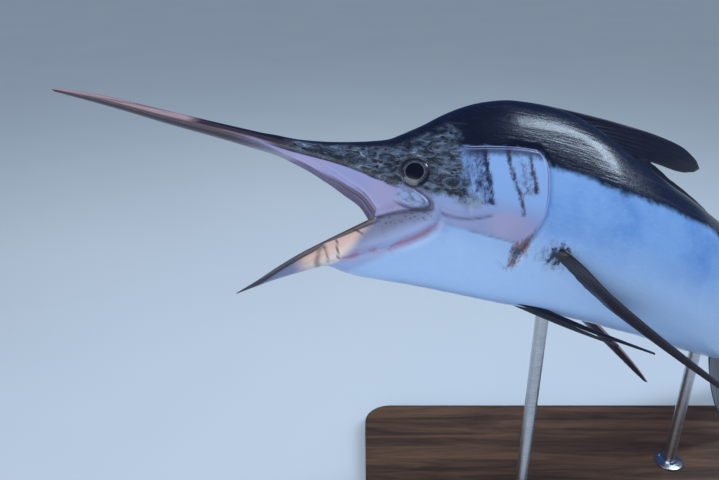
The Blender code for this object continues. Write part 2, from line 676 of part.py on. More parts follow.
def stand_up(obj, rigid_at=None):
    """Bend an object with the spine and turn it onto the stand.

    A fin that stands off the body keeps its shape: it moves with the spine at rigid_at.
    """
    mesh = obj.data
    points = np.empty(len(mesh.vertices) * 3)
    mesh.vertices.foreach_get("co", points)
    points = points.reshape(-1, 3)
    if rigid_at is None:
        bent = bend(points)
    else:
        x = rigid_at * FORK_LENGTH
        probe = bend(np.array([[x, 0, 0], [x + 0.001, 0, 0], [x, 1, 0], [x, 0, 1]], float))
        ahead = (probe[1] - probe[0]) / np.linalg.norm(probe[1] - probe[0])
        bent = (probe[0] + (points[:, :1] - x) * ahead + points[:, 1:2] * (probe[2] - probe[0])
                + points[:, 2:3] * (probe[3] - probe[0]))
    mesh.vertices.foreach_set("co", bent.ravel())
    mesh.transform(STANCE)
    mesh.update()


# The collections, and an empty scene
for old in list(bpy.data.objects):
    bpy.data.objects.remove(old)
PARTS = bpy.data.collections.new("white_marlin")
CUTTERS = bpy.data.collections.new("cutters")
for group in (PARTS, CUTTERS):
    bpy.context.scene.collection.children.link(group)

SPINE = spine_table()
STANCE = (Matrix.Translation(STANCE_PLACE)
          @ (Matrix.Rotation(STANCE_EULER[2], 4, "Z") @ Matrix.Rotation(STANCE_EULER[1], 4, "Y")
             @ Matrix.Rotation(STANCE_EULER[0], 4, "X")))
SIDES = (("left", -1), ("right", 1))

# The body, whole, with the surface that fins and covers are set on
body = whole_body()
flesh = bmesh.new()
flesh.from_mesh(body.data)
FLANK_TREE = BVHTree.FromBMesh(flesh)
for word, side in SIDES:
    for level in (-KEEL_LEVEL, KEEL_LEVEL):
        boolean(body, keel(f"keel_{word}", side, level), "UNION")
whole_surface = body.data.copy()

for word, side in SIDES:
    plate = cover(f"gill_cover_{word}", side)
    boolean(body, swollen(plate.data, GAP, f"gill_seat_{word}"))
    eye(f"eye_{word}", side)
    boolean(body, eye(f"socket_{word}", side, GAP))
    for x, z, radius in NOSTRILS:
        boolean(body, lens(f"nostril_{word}", side, x, z, (radius, 1.5 * radius, 1.6 * radius), 0.0, True,
                           10, 6))

for name, (x, z), size, turn in SLABS:
    centre = (x * FORK_LENGTH, 0.0, z * FORK_LENGTH)
    boolean(body, box(name, centre, (GAP, 0.5, size * FORK_LENGTH), turn))
separate(body, {name: [FORK_LENGTH * c for c in near] for name, near in PIECES.items()})

# The fins
fins = [*first_dorsal(), mid_fin("second_dorsal_fin", SECOND_DORSAL, back, 1, 9),
        mid_fin("anal_fin", ANAL, belly, -1, 15), mid_fin("second_anal_fin", SECOND_ANAL, belly, -1, 9),
        tail_lobe("tail_fin_upper", 1), tail_lobe("tail_fin_lower", -1)]
rigid = {}
for word, side in SIDES:
    fins.append(paired_fin(f"pectoral_fin_{word}", side, PECTORAL_ROOT, PECTORAL_SPAN, PECTORAL_FLAT,
                           PECTORAL_LENGTH, PECTORAL_SWEEP, PECTORAL_WIDTH, PECTORAL_TWIST,
                           PECTORAL_THICK, PECTORAL_KNOB, 12, 5))
    rigid[fins[-1].name] = PECTORAL_ROOT[0]
    fins.append(paired_fin(f"pelvic_fin_{word}", side, PELVIC_ROOT, PELVIC_SPAN, PELVIC_FLAT,
                           PELVIC_LENGTH, PELVIC_SWEEP, PELVIC_WIDTH, PELVIC_TWIST, PELVIC_THICK,
                           PELVIC_KNOB, 9, 2))

# Everything bends with the spine and goes onto the stand
surface = link(bpy.data.objects.new("surface", whole_surface), cutter=True)
stand_up(surface)
for obj in list(PARTS.objects):
    stand_up(obj, rigid.get(obj.name))

# The stand
base = bmesh.new()
bmesh.ops.create_cube(base, size=1.0)
bmesh.ops.transform(base, matrix=Matrix.Diagonal((*BASE_SIZE, 1.0)), verts=base.verts)
bmesh.ops.translate(base, vec=(0, 0, BASE_SIZE[2] / 2), verts=base.verts)
uprights = [e for e in base.edges if abs(e.verts[0].co.z - e.verts[1].co.z) > 0.5 * BASE_SIZE[2]]
bmesh.ops.bevel(base, geom=uprights, offset=BASE_CORNER, segments=6, affect="EDGES", profile=0.5)
store("stand_base", base)
rods = []
for word, station in zip(("front", "rear"), ROD_STATIONS):
    x, y, z = STANCE @ Vector(bend(np.array([[station * FORK_LENGTH, 0.0, 0.0]]))[0])
    bpy.ops.mesh.primitive_cylinder_add(vertices=24, radius=ROD_RADIUS, depth=1.0)
    rod = bpy.context.object
    rod.name = f"stand_rod_{word}"
    for c in list(rod.users_collection):
        c.objects.unlink(rod)
    link(rod)
    low = BASE_SIZE[2] + GAP
    rod.data.transform(Matrix.Translation((x, y, (low + z) / 2)) @ Matrix.Diagonal((1, 1, z - low, 1)))
    rods.append(rod)

# Fins and rods meet the body face to face
for obj in fins + rods:
    boolean(obj, swollen(surface.data, GAP, f"seat_{obj.name}"))
    keep_largest(obj)

# Colours
FINISHES = {
    "bill": ((0.30, 0.20, 0.19), 0.40), "head": ((0.22, 0.23, 0.27), 0.35),
    "lower_jaw": ((0.50, 0.33, 0.24), 0.40), "gill_cover": ((0.50, 0.55, 0.62), 0.35),
    "eye": ((0.03, 0.04, 0.06), 0.08), "trunk": ((0.35, 0.40, 0.50), 0.35),
    "tail": ((0.30, 0.34, 0.42), 0.35), "tail_stalk": ((0.20, 0.23, 0.29), 0.35),
    "dorsal_fin": ((0.045, 0.045, 0.070), 0.30), "second_dorsal_fin": ((0.045, 0.045, 0.070), 0.35),
    "anal_fin": ((0.12, 0.13, 0.17), 0.40), "second_anal_fin": ((0.12, 0.13, 0.17), 0.40),
    "tail_fin": ((0.06, 0.06, 0.085), 0.35), "pectoral_fin": ((0.04, 0.04, 0.06), 0.35),
    "pelvic_fin": ((0.10, 0.10, 0.13), 0.40), "stand_base": ((0.10, 0.065, 0.045), 0.35),
    "stand_rod": ((0.55, 0.55, 0.57), 0.25),
}
for obj in PARTS.objects:
    words = max((key for key in FINISHES if obj.name.startswith(key)), key=len)
    colour, roughness = FINISHES[words]
    material = bpy.data.materials.new(obj.name)
    material.use_nodes = True
    shader = material.node_tree.nodes["Principled BSDF"]
    shader.inputs["Base Color"].default_value = (*colour, 1.0)
    shader.inputs["Roughness"].default_value = roughness
    shader.inputs["Metallic"].default_value = 1.0 if words == "stand_rod" else 0.0
    obj.data.materials.clear()
    obj.data.materials.append(material)
    obj.data.shade_smooth()
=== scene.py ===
"""White marlin on its display stand: the finished skin, fins, eyes, stand, light and camera.

The fish is shaped straight, in its own frame: x runs back from the tip of the closed lower jaw,
-y is its left side, z is up, all as parts of the fork length. It is then bent along its spine and
stood on the base, as the frame's solids are.
"""

import bmesh
import bpy
import math
import numpy as np
from mathutils import Matrix, Vector
from mathutils.bvhtree import BVHTree


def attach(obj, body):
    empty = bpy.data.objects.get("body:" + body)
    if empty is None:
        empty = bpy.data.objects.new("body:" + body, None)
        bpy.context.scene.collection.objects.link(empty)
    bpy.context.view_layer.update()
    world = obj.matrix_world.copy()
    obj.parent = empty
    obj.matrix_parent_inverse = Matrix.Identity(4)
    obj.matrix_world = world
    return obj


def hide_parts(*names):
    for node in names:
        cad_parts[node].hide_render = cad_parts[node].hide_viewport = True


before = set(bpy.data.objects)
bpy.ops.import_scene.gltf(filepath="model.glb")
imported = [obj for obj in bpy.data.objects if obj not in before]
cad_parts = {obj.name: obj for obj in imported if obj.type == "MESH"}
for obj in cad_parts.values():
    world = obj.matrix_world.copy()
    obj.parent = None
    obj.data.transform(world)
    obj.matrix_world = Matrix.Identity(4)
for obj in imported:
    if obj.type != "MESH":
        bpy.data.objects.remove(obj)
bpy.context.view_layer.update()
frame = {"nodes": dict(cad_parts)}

# Driving dimensions, as the solids have them
FORK_LENGTH = 1.72
GAP = 0.0003                  # between neighbouring solids, in metres
GAPE = math.radians(34.4)
CRANIAL_LIFT = math.radians(3.5)
JAW_HINGE = (0.180, -0.016)
NAPE_HINGE = (0.205, 0.020)
MOUTH_CORNER = 0.136
BEND_FROM, BEND_TO = 0.20, 0.60
BEND_SWING = math.radians(52.0)
BEND_DROOP = math.radians(8.9)
COUNTER_FROM, COUNTER_TO = 0.60, 0.97
COUNTER_SWING = math.radians(-55.0)
COUNTER_LIFT = math.radians(38.0)
STANCE_EULER = tuple(math.radians(a) for a in (-28.54, 10.69, -3.31))
STANCE_PLACE = (-0.66, -0.10, 0.755)

# Camera, as seen from the left and a little above
CAMERA_ELEVATION = math.radians(25.0)
FOCAL_PIXELS = 700.0
IMAGE_WIDTH = 719.0
SENSOR = 36.0
AIM_STATION = 0.15
AIM_OFFSET = (0.0563, 0.0715, 1.0798)        # right, up and away from the camera, in metres

# Outlines along the body
BILL_TOP = ((-0.165, 0.0105), (-0.148, 0.0128), (-0.118, 0.0155), (-0.064, 0.0166), (0.018, 0.0189),
            (0.049, 0.0201), (0.070, 0.0231), (0.110, 0.0331), (0.143, 0.0450))
BILL_BOTTOM = ((-0.165, 0.0075), (-0.139, 0.0074), (-0.109, 0.0070), (-0.056, 0.0053),
               (-0.007, 0.0046), (0.0245, 0.0028), (0.046, -0.0005), (0.067, -0.0022),
               (0.089, -0.0071), (0.107, -0.0137), (0.1225, -0.0195), (0.136, -0.0310))
BILL_WIDTH = ((-0.165, 0.0020), (-0.150, 0.0038), (-0.100, 0.0058), (-0.040, 0.0078), (0.010, 0.0105),
              (0.050, 0.0160), (0.090, 0.0240), (0.136, 0.0335))
JAW_TOP = ((0.0, -0.0110), (0.019, -0.0087), (0.046, -0.0043), (0.072, -0.0015), (0.098, -0.0004),
           (0.136, 0.0008))
JAW_BOTTOM = ((0.0, -0.0118), (0.022, -0.0130), (0.042, -0.0145), (0.059, -0.0167),
              (0.081, -0.0205), (0.103, -0.0395), (0.120, -0.0510), (0.136, -0.0614))
JAW_WIDTH = ((0.0, 0.0020), (0.020, 0.0075), (0.050, 0.0135), (0.085, 0.0200), (0.110, 0.0270),
             (0.136, 0.0335))
BACK = ((0.1335, 0.0480), (0.150, 0.0590), (0.174, 0.0780), (0.188, 0.0870), (0.209, 0.0966),
        (0.238, 0.1045), (0.275, 0.1075), (0.310, 0.1020), (0.355, 0.0870), (0.392, 0.0785),
        (0.432, 0.0730), (0.55, 0.065), (0.65, 0.055), (0.75, 0.043), (0.85, 0.029), (0.93, 0.0195),
        (0.985, 0.0185))
BELLY = ((0.1335, -0.0782), (0.240, -0.0780), (0.277, -0.0765), (0.40, -0.0745), (0.50, -0.0710),
         (0.60, -0.0610), (0.70, -0.0470), (0.80, -0.0330), (0.88, -0.0225), (0.94, -0.0180),
         (0.985, -0.0180))
MIDLINE = ((0.1335, -0.0266), (0.155, -0.0165), (0.174, -0.0086), (0.205, -0.0040), (0.280, 0.0),
           (0.985, 0.0))
BODY_WIDTH = ((0.1335, 0.0335), (0.155, 0.0365), (0.180, 0.0395), (0.210, 0.0435), (0.245, 0.0470),
              (0.310, 0.0500), (0.360, 0.0510), (0.450, 0.0490), (0.550, 0.0435), (0.650, 0.0355),
              (0.750, 0.0265), (0.850, 0.0180), (0.930, 0.0115), (0.985, 0.0095))
THROAT_FAN = ((0.1335, 34.4), (0.174, 34.4), (0.200, 30.0), (0.240, 15.0), (0.280, 5.0), (0.310, 0.0),
              (0.985, 0.0))
SKULL_FAN = ((0.1335, 3.5), (0.18, 2.5), (0.240, 0.0), (0.985, 0.0))

# The points of the bill, the lower jaw and the back of the mouth, and the stations of the skin's parts
BILL_POINT, JAW_POINT, THROAT = (-0.168, 0.0090), (-0.002, -0.0114), (0.205, -0.020)
BILL_START, HEAD_START, TRUNK_START, BODY_END, BODY_POINT = -0.165, 0.1335, 0.310, 0.985, 0.987
BILL_LIP, BILL_LIP_LENGTH = 0.42, 0.09      # how high up the bill its lip runs in front, and how far back

# Gill cover: its four edges in side view
COVER_FRONT = ((0.236, -0.0560), (0.214, -0.0150), (0.206, 0.0200), (0.203, 0.0480))
COVER_REAR = ((0.2516, -0.0510), (0.2522, -0.0410), (0.2545, -0.0300), (0.2590, -0.0200),
              (0.2640, -0.0100), (0.2668, 0.0020), (0.2672, 0.0140), (0.2660, 0.0285),
              (0.2642, 0.0400), (0.2620, 0.0470), (0.2585, 0.0525), (0.2530, 0.0560))
COVER_TOP = ((0.203, 0.0480), (0.2225, 0.0522), (0.2400, 0.0550), (0.2530, 0.0560))
COVER_BOTTOM = ((0.236, -0.0560), (0.244, -0.0545), (0.2516, -0.0510))
COVER_FLARE = 0.0022              # how far its rear edge stands out

# Eye: where it looks out of the head; in metres its radius, half depth, sink and the radius that shows
EYE_PLACE = (0.160, 0.0170)
EYE_RADIUS, EYE_DEPTH, EYE_SINK, EYE_SEEN = 0.0285, 0.0130, 0.0090, 0.0205
NOSTRILS = ((0.1395, 0.0245), (0.1440, 0.0238))

# Keels on the tail stalk
KEEL_FROM, KEEL_TO = 0.925, 0.982

# First dorsal fin: each ray's root on the back, and its tip. The front rays lie back over the others
LOBE_ROOTS = (0.236, 0.244, 0.252, 0.261, 0.270, 0.279, 0.288, 0.297, 0.306, 0.316, 0.330, 0.345,
              0.362, 0.380)
LOBE_TIPS = ((0.262, 0.1080), (0.288, 0.1100), (0.330, 0.1135), (0.379, 0.1185), (0.434, 0.1240),
             (0.462, 0.1185), (0.471, 0.1135), (0.461, 0.1065), (0.444, 0.0995), (0.427, 0.0955),
             (0.385, 0.0925), (0.399, 0.0910), (0.412, 0.0880), (0.424, 0.0848))
STRIP_FROM, STRIP_TO, STRIP_RAYS = 0.402, 0.735, 16
STRIP_HEIGHT, STRIP_FALL, STRIP_LEAN = 0.0115, 0.0060, 0.024

# The other fins on the mid line: front, rear, heights along them, and how far they sweep back
SECOND_DORSAL = (0.800, 0.842, (0.006, 0.030, 0.038, 0.026, 0.016, 0.012), 1.10)
ANAL = (0.620, 0.735, (0.010, 0.050, 0.080, 0.088, 0.064, 0.042, 0.028, 0.020, 0.014), 1.05)
SECOND_ANAL = (0.792, 0.834, (0.006, 0.028, 0.036, 0.025, 0.016, 0.012), 1.10)
FIN_SINK = 0.012              # how far their roots reach into the body before they are cut to it
DORSAL_THICK, FIN_THICK = 0.0030, 0.0032      # half their thickness at the root, in metres

# Tail fin: root, sweep and height of a lobe, its chord, and half its thickness in metres
TAIL_ROOT, TAIL_SWEEP, TAIL_HEIGHT = 0.962, 0.115, 0.172
TAIL_CHORD, TAIL_TIP_CHORD, TAIL_THICK = 0.050, 0.006, 0.0052

# Paired fins: where they root (back, up, out), how the left one leaves the body (back, in, up), and its
# widths and twist in degrees along its length. Thickness and the swelling at its root are in metres
PECTORAL = dict(root=(0.281, -0.0255, 0.040), span=(0.885, -0.170, -0.430), flat=(0.05, 0.97, -0.20),
                length=0.225, sweep=0.012, thick=0.0042, knob=0.0078, rays=14,
                widths=((0.0, 0.024), (0.06, 0.030), (0.15, 0.034), (0.6, 0.026), (0.9, 0.014), (1.0, 0.006)),
                twist=((0.0, -12.0), (0.12, -8.0), (0.30, 8.0), (1.0, 12.0)))
PELVIC = dict(root=(0.262, -0.070, 0.012), span=(0.97, -0.05, -0.10), flat=(0.0, 0.3, 1.0),
              length=0.17, sweep=-0.004, thick=0.0018, knob=0.0008, rays=4,
              widths=((0.0, 0.0075), (0.3, 0.0055), (1.0, 0.0022)), twist=((0.0, 0.0), (1.0, 0.0)))
RIM = 0.0006                  # half thickness of a fin at its edge
ROOT_SINK, ROOT_SHARE = 0.014, 0.05     # how deep, and over which share of its length, a root dives in
ROOT_INWARD = (-0.35, 0.93, 0.10)       # and in which direction
DORSAL_RAYS, MID_FIN_RAYS = 0.08, 0.4   # how high rays stand, as parts of a fin's half thickness
PECTORAL_RAYS, PELVIC_RAYS = 0.0007, 0.0003     # and in metres, on the paired fins
RAY_SHARPNESS, RAY_FADE = 1.5, 0.6      # powers of a ray's outline and of its fall towards the tip
PAD_SIZE, PAD_RISE = 0.0105, 0.0022     # the fleshy pad round a pectoral root

# What stands out of the skin or sinks into it: height, distance from its line, and half width. The
# jaw lobe's distances are counted in its own half sizes
LIP, LIP_HOLLOW = (0.0006, 0.0022, 0.0017), (-0.0006, 0.0064, 0.0017)
BAND_GROOVE, MOUTH_SEAM = (-0.0011, 0.0, 0.0015), (-0.0013, 0.0, 0.0014)
LOBE_GROOVE, LOBE_FOLD = (-0.0014, 1.12, 0.15), (0.0005, 1.38, 0.12)
JAW_BONE, JAW_CREASE, JAW_POUCH = (0.0015, 0.0065, 0.0055), (-0.0019, 0.0, 0.0014), (0.0012, -0.0080, 0.0055)
EYE_RIM, EYE_BROW = (0.0012, 0.0153, 0.0019), (0.0012, 0.0210, 0.0040)
NOSTRIL_RIM, NOSTRIL_HOLE = (0.0006, 0.0026, 0.0010), (-0.0022, 0.0, 0.0013)
COVER_GROOVE, SLIT_HOLLOW = (-0.0018, -0.0018, 0.0018), (-0.0030, -0.0012, 0.0034)
COVER_SEAM = (-0.0006, -0.0030, 0.0022)
SIDE_LINE, KEEL = (-0.0003, 0.0, 0.0012), (0.0035, 0.0055, 0.0015)
# Wider steps of the skin, by height: the band, the jaw lobe, the eye socket, under a plate, muscle
BAND_STEP, LOBE_SWELL, SOCKET_DEPTH, PLATE_SINK, MUSCLE_SWELL = 0.0008, 0.0016, 0.0032, 0.0030, 0.0005

# Feet of the rods, in metres: radius and height of a collar's outline, and the ring of its screws
FOOT_PROFILE = ((0.0114, 0.0006), (0.0280, 0.0006), (0.0280, 0.0032), (0.0272, 0.0040), (0.0165, 0.0044),
                (0.0140, 0.0056), (0.0134, 0.0100), (0.0126, 0.0108), (0.0114, 0.0108))
SCREW_RING, SCREW_RADIUS, SCREW_HEIGHT, SCREW_LEVEL = 0.0215, 0.0032, 0.0022, 0.0041
SCREW_TOP, SOCKET_WIDTH = 0.72, 0.42      # as parts of a head's radius
SOCKET_CUTTER, SOCKET_LEVEL = 1.6, 0.003  # the socket cutter's length, as heads, and its level in metres

# Resolution of the skin, the gill covers, the fins and the eyes
UPPER_STEPS, LOWER_STEPS = 116, 96
BILL_STATIONS, JAW_STATIONS, HEAD_STATIONS, TRUNK_STATIONS, MOUTH_RINGS = 76, 68, 196, 66, 12
COVER_ROWS, COVER_COLUMNS = 64, 56
SEAM_PASSES = 14              # how often the ring where jaw and head meet is smoothed


def curve(points):
    """A smooth line through the points that never swings past them."""
    xs, ys = np.array(points, float).T
    h = np.diff(xs)
    slope = np.diff(ys) / h
    m = np.zeros(len(xs))
    for i in range(1, len(xs) - 1):
        if slope[i - 1] * slope[i] > 0:
            a, b = 2 * h[i] + h[i - 1], h[i] + 2 * h[i - 1]
            m[i] = (a + b) / (a / slope[i - 1] + b / slope[i])
    m[0], m[-1] = slope[0], slope[-1]

    def at(x):
        x = np.clip(x, xs[0], xs[-1])
        i = np.clip(np.searchsorted(xs, x) - 1, 0, len(xs) - 2)
        t = (x - xs[i]) / h[i]
        return ((1 + 2 * t) * (1 - t) ** 2 * ys[i] + t * (1 - t) ** 2 * h[i] * m[i]
                + t * t * (3 - 2 * t) * ys[i + 1] + t * t * (t - 1) * h[i] * m[i + 1])
    return at


def line_at(points, by_length=False):
    """A function that gives the places at shares of a bent line, by its points or by its length."""
    line = np.array(points, float)
    steps = np.hypot(*np.diff(line, axis=0).T) if by_length else np.ones(len(line) - 1)
    shares = np.concatenate([[0.0], np.cumsum(steps) / steps.sum()])
    return lambda t: np.stack([np.interp(t, shares, line[:, i]) for i in (0, 1)], -1)


bill_top, bill_bottom, bill_width = curve(BILL_TOP), curve(BILL_BOTTOM), curve(BILL_WIDTH)
jaw_top, jaw_bottom, jaw_width = curve(JAW_TOP), curve(JAW_BOTTOM), curve(JAW_WIDTH)
back, belly, midline = curve(BACK), curve(BELLY), curve(MIDLINE)
body_width, throat_fan, skull_fan = curve(BODY_WIDTH), curve(THROAT_FAN), curve(SKULL_FAN)


def smooth(t):
    t = np.clip(t, 0.0, 1.0)
    return t * t * (3 - 2 * t)


def between(value, low, high, soft):
    """1 where value lies between low and high, falling off over soft at both ends."""
    return smooth((value - low) / soft + 0.5) * smooth((high - value) / soft + 0.5)


def swing(x, z, hinge, angle):
    """Turn side-view points about a hinge; a positive angle lowers what is in front."""
    dx, dz = x - hinge[0], z - hinge[1]
    c, s = math.cos(angle), math.sin(angle)
    return hinge[0] + c * dx - s * dz, hinge[1] + s * dx + c * dz


def turns(steps):
    """Angles along half a ring, closer together near the lips and the flanks."""
    share = np.arange(steps + 1) / steps
    return np.pi * share - 0.22 * np.sin(2 * np.pi * share)


def arc(width, steps, out_power, up_power):
    """Half a ring from the left edge over the middle to the right: side places and heights 0 to 1."""
    turn = turns(steps)
    side = np.cos(turn)
    return -width * np.sign(side) * np.abs(side) ** out_power, np.abs(np.sin(turn)) ** up_power


def points(x, y, z):
    return np.stack(np.broadcast_arrays(x, y, z), 1).astype(float)


def bill_lip(x):
    """Height of the upper lip: on the side of the bill in front, along its lower edge behind."""
    bottom = bill_bottom(x)
    return bottom + BILL_LIP * (bill_top(x) - bottom) * (1 - smooth(x / BILL_LIP_LENGTH))


def bill_rows(x):
    """The outer arc and the palate of the upper jaw at x."""
    top, bottom, width, lip = bill_top(x), bill_bottom(x), bill_width(x), bill_lip(x)
    side, height = arc(width, UPPER_STEPS, 0.92, 1.0)
    ux, uz = swing(x, lip + (top - lip) * height, NAPE_HINGE, -CRANIAL_LIFT)
    outer = points(ux, side, uz)
    lift = 0.38 * (top - bottom) * smooth(x / BILL_LIP_LENGTH) - (lip - bottom)
    side, height = arc(width, LOWER_STEPS, 0.92, 0.8)
    ux, uz = swing(x, lip + lift * height, NAPE_HINGE, -CRANIAL_LIFT)
    return outer, points(ux, side, uz)


def jaw_rows(x):
    """The outer arc and the mouth floor of the lower jaw at x."""
    lip, bottom, width = jaw_top(x), jaw_bottom(x), jaw_width(x)
    side, height = arc(width, LOWER_STEPS, 0.85, 0.9)
    lx, lz = swing(x, lip + (bottom - lip) * height, JAW_HINGE, GAPE)
    outer = points(lx, side, lz)
    hollow = 0.55 * min(lip - bottom, 0.030) * smooth(x / 0.03)
    side, height = arc(width, UPPER_STEPS, 0.92, 0.8)
    lx, lz = swing(x, lip - hollow * height, JAW_HINGE, GAPE)
    return outer, points(lx, side, lz)


def body_row(x):
    """The upper and the lower arc of the head and trunk at x."""
    mid, width = midline(x), body_width(x)
    lean, fan = math.radians(skull_fan(x)), math.radians(throat_fan(x))
    rise = (back(x) - mid) / math.cos(lean)
    depth = (mid - belly(x)) / math.cos(fan)
    keel = 1.0 + 0.35 * math.exp(-((x - 0.22) / 0.07) ** 2)
    side, height = arc(width, UPPER_STEPS, 0.9, keel)
    up = points(x + rise * height * math.sin(lean), side, mid + rise * height * math.cos(lean))
    side, height = arc(width, LOWER_STEPS, 0.85, 0.95)
    down = points(x + depth * height * math.sin(fan), side, mid - depth * height * math.cos(fan))
    return up, down


class Loft:
    """Rows of vertices joined by strips of faces, with values carried by each vertex."""

    def __init__(self):
        self.places, self.faces, self.marks, self.count = [], [], [], 0

    def row(self, places, mark=(0.0, 0.0, 0.0)):
        places = np.atleast_2d(np.asarray(places, float))
        self.places.append(places)
        self.marks.append(np.broadcast_to(np.atleast_2d(np.asarray(mark, float)), places.shape))
        start = self.count
        self.count += len(places)
        return list(range(start, self.count))

    def strip(self, a, b, closed=False):
        n = max(len(a), len(b))
        for j in range(n if closed else n - 1):
            k = (j + 1) % n
            loop = [a[j % len(a)], a[k % len(a)], b[k % len(b)], b[j % len(b)]]
            loop = list(dict.fromkeys(loop))
            if len(loop) > 2:
                self.faces.append(loop)

    def all_places(self):
        return np.concatenate(self.places)

    def all_marks(self):
        return np.concatenate(self.marks)


def make_mesh(name, loft, scale=FORK_LENGTH):
    """A closed mesh in metres from a loft in fork lengths, with its faces pointing out."""
    mesh = bpy.data.meshes.new(name)
    mesh.from_pydata((loft.all_places() * scale).tolist(), [], loft.faces)
    bm = bmesh.new()
    bm.from_mesh(mesh)
    bmesh.ops.recalc_face_normals(bm, faces=bm.faces)
    if bm.calc_volume(signed=True) < 0:
        bmesh.ops.reverse_faces(bm, faces=bm.faces)
    bm.to_mesh(mesh)
    bm.free()
    mesh.update()
    return mesh


def carry(mesh, name, values):
    """Store a vector on every vertex."""
    layer = mesh.attributes.new(name, "FLOAT_VECTOR", "POINT")
    layer.data.foreach_set("vector", np.asarray(values, np.float32).ravel())


def sheet(loft, one, other):
    """Close two grids of rows, which lie face to face, into one thin sheet."""
    for rows in (one, other):
        for a, b in zip(rows, rows[1:]):
            loft.strip(a, b)
    for i in (0, -1):
        loft.strip(one[i], other[i])
        loft.strip([row[i] for row in one], [row[i] for row in other])


def tube(name, rings, mark="ray"):
    """A closed tube through rings of places, each with the marks that its vertices carry."""
    loft = Loft()
    rows = [loft.row(places, marks) for places, marks in rings]
    for a, b in zip(rows, rows[1:]):
        loft.strip(a, b, closed=True)
    loft.faces += [row for row in (rows[0], rows[-1]) if len(row) > 2]
    mesh = make_mesh(name, loft)
    carry(mesh, mark, loft.all_marks())
    return mesh


def skin_loft():
    """Bill, jaws, head and trunk as one closed surface, with the mouth as a pocket."""
    loft = Loft()

    def marked(inside, lower, steps):
        height = np.sin(turns(steps))
        return points(inside, lower, height)

    nx, nz = swing(*BILL_POINT, NAPE_HINGE, -CRANIAL_LIFT)
    upper = palate = loft.row((nx, 0.0, nz))
    for t in np.linspace(0, 1, BILL_STATIONS + 1):
        outer, inner = bill_rows(BILL_START + (MOUTH_CORNER - BILL_START) * t ** 0.8)
        row = loft.row(outer, marked(0, 0, UPPER_STEPS))
        roof = loft.row(inner[1:-1], marked(1, 0, LOWER_STEPS)[1:-1])
        loft.strip(upper, row)
        roof = [row[0], *roof, row[-1]]
        loft.strip(palate, roof)
        upper, palate = row, roof
    cx, cz = swing(*JAW_POINT, JAW_HINGE, GAPE)
    lower = floor = loft.row((cx, 0.0, cz), (0, 1, 0))
    for i, t in enumerate(np.linspace(0, 1, JAW_STATIONS + 1)):
        outer, inner = jaw_rows(MOUTH_CORNER * t)
        if i == JAW_STATIONS:
            row = [upper[0], *loft.row(outer[1:-1], marked(0, 1, LOWER_STEPS)[1:-1]), upper[-1]]
        else:
            row = loft.row(outer, marked(0, 1, LOWER_STEPS))
        bed = [row[0], *loft.row(inner[1:-1], marked(1, 1, UPPER_STEPS)[1:-1]), row[-1]]
        loft.strip(lower, row)
        loft.strip(floor, bed)
        lower, floor = row, bed
    throat = np.array((THROAT[0], 0.0, THROAT[1]))
    ring = palate + floor[-2:0:-1]
    start = loft.all_places()[ring]
    for k in range(1, MOUTH_RINGS):
        t = k / MOUTH_RINGS
        shrink = (1 - t) ** 0.6
        now = throat + (start - throat) * np.array((1 - t, shrink * 0.94, shrink))
        inner = loft.row(now, (1, 0.5, 1))
        loft.strip(ring, inner, closed=True)
        ring = inner
    loft.strip(ring, loft.row(throat, (1, 0.5, 1)), closed=True)
    stations = np.concatenate([np.linspace(HEAD_START, TRUNK_START, HEAD_STATIONS + 1)[1:],
                               np.linspace(TRUNK_START, BODY_END, TRUNK_STATIONS + 1)[1:]])
    for x in stations:
        up, down = body_row(float(x))
        row = loft.row(up, marked(0, 0, UPPER_STEPS))
        keel = [row[0], *loft.row(down[1:-1], marked(0, 1, LOWER_STEPS)[1:-1]), row[-1]]
        loft.strip(upper, row)
        loft.strip(lower, keel)
        upper, lower = row, keel
    end = loft.row((BODY_POINT, 0.0, 0.0))
    loft.strip(upper, end)
    loft.strip(lower, end)
    return loft


def spine_table():
    """Centre line and frames of the bent spine, at even steps."""
    xs = np.linspace(-0.4, 1.3, 3401)
    k = np.clip((xs - BEND_FROM) / (BEND_TO - BEND_FROM), 0, 1)
    c = np.clip((xs - COUNTER_FROM) / (COUNTER_TO - COUNTER_FROM), 0, 1)
    counter = c * c * (3 - 2 * c)
    heading = BEND_SWING * k + COUNTER_SWING * counter
    droop = BEND_DROOP * k - COUNTER_LIFT * counter
    tangent = np.stack([np.cos(heading) * np.cos(droop), np.sin(heading) * np.cos(droop),
                        -np.sin(droop)], 1)
    side = np.stack([-np.sin(heading), np.cos(heading), 0 * heading], 1)
    up = np.cross(tangent, side)
    centre = np.cumsum(tangent, 0) * (xs[1] - xs[0])
    zero = np.array([np.interp(0.0, xs, centre[:, i]) for i in range(3)])
    return xs, centre - zero, side, up


SPINE = spine_table()
STANCE = (Matrix.Translation(STANCE_PLACE)
          @ (Matrix.Rotation(STANCE_EULER[2], 4, "Z") @ Matrix.Rotation(STANCE_EULER[1], 4, "Y")
             @ Matrix.Rotation(STANCE_EULER[0], 4, "X")))


def bend(places):
    """Carry straight-fish places, in metres, onto the bent spine."""
    xs, centre, side, up = SPINE
    x = places[:, 0] / FORK_LENGTH
    pick = lambda table: np.stack([np.interp(x, xs, table[:, i]) for i in range(3)], 1)
    return pick(centre) * FORK_LENGTH + pick(side) * places[:, 1:2] + pick(up) * places[:, 2:3]


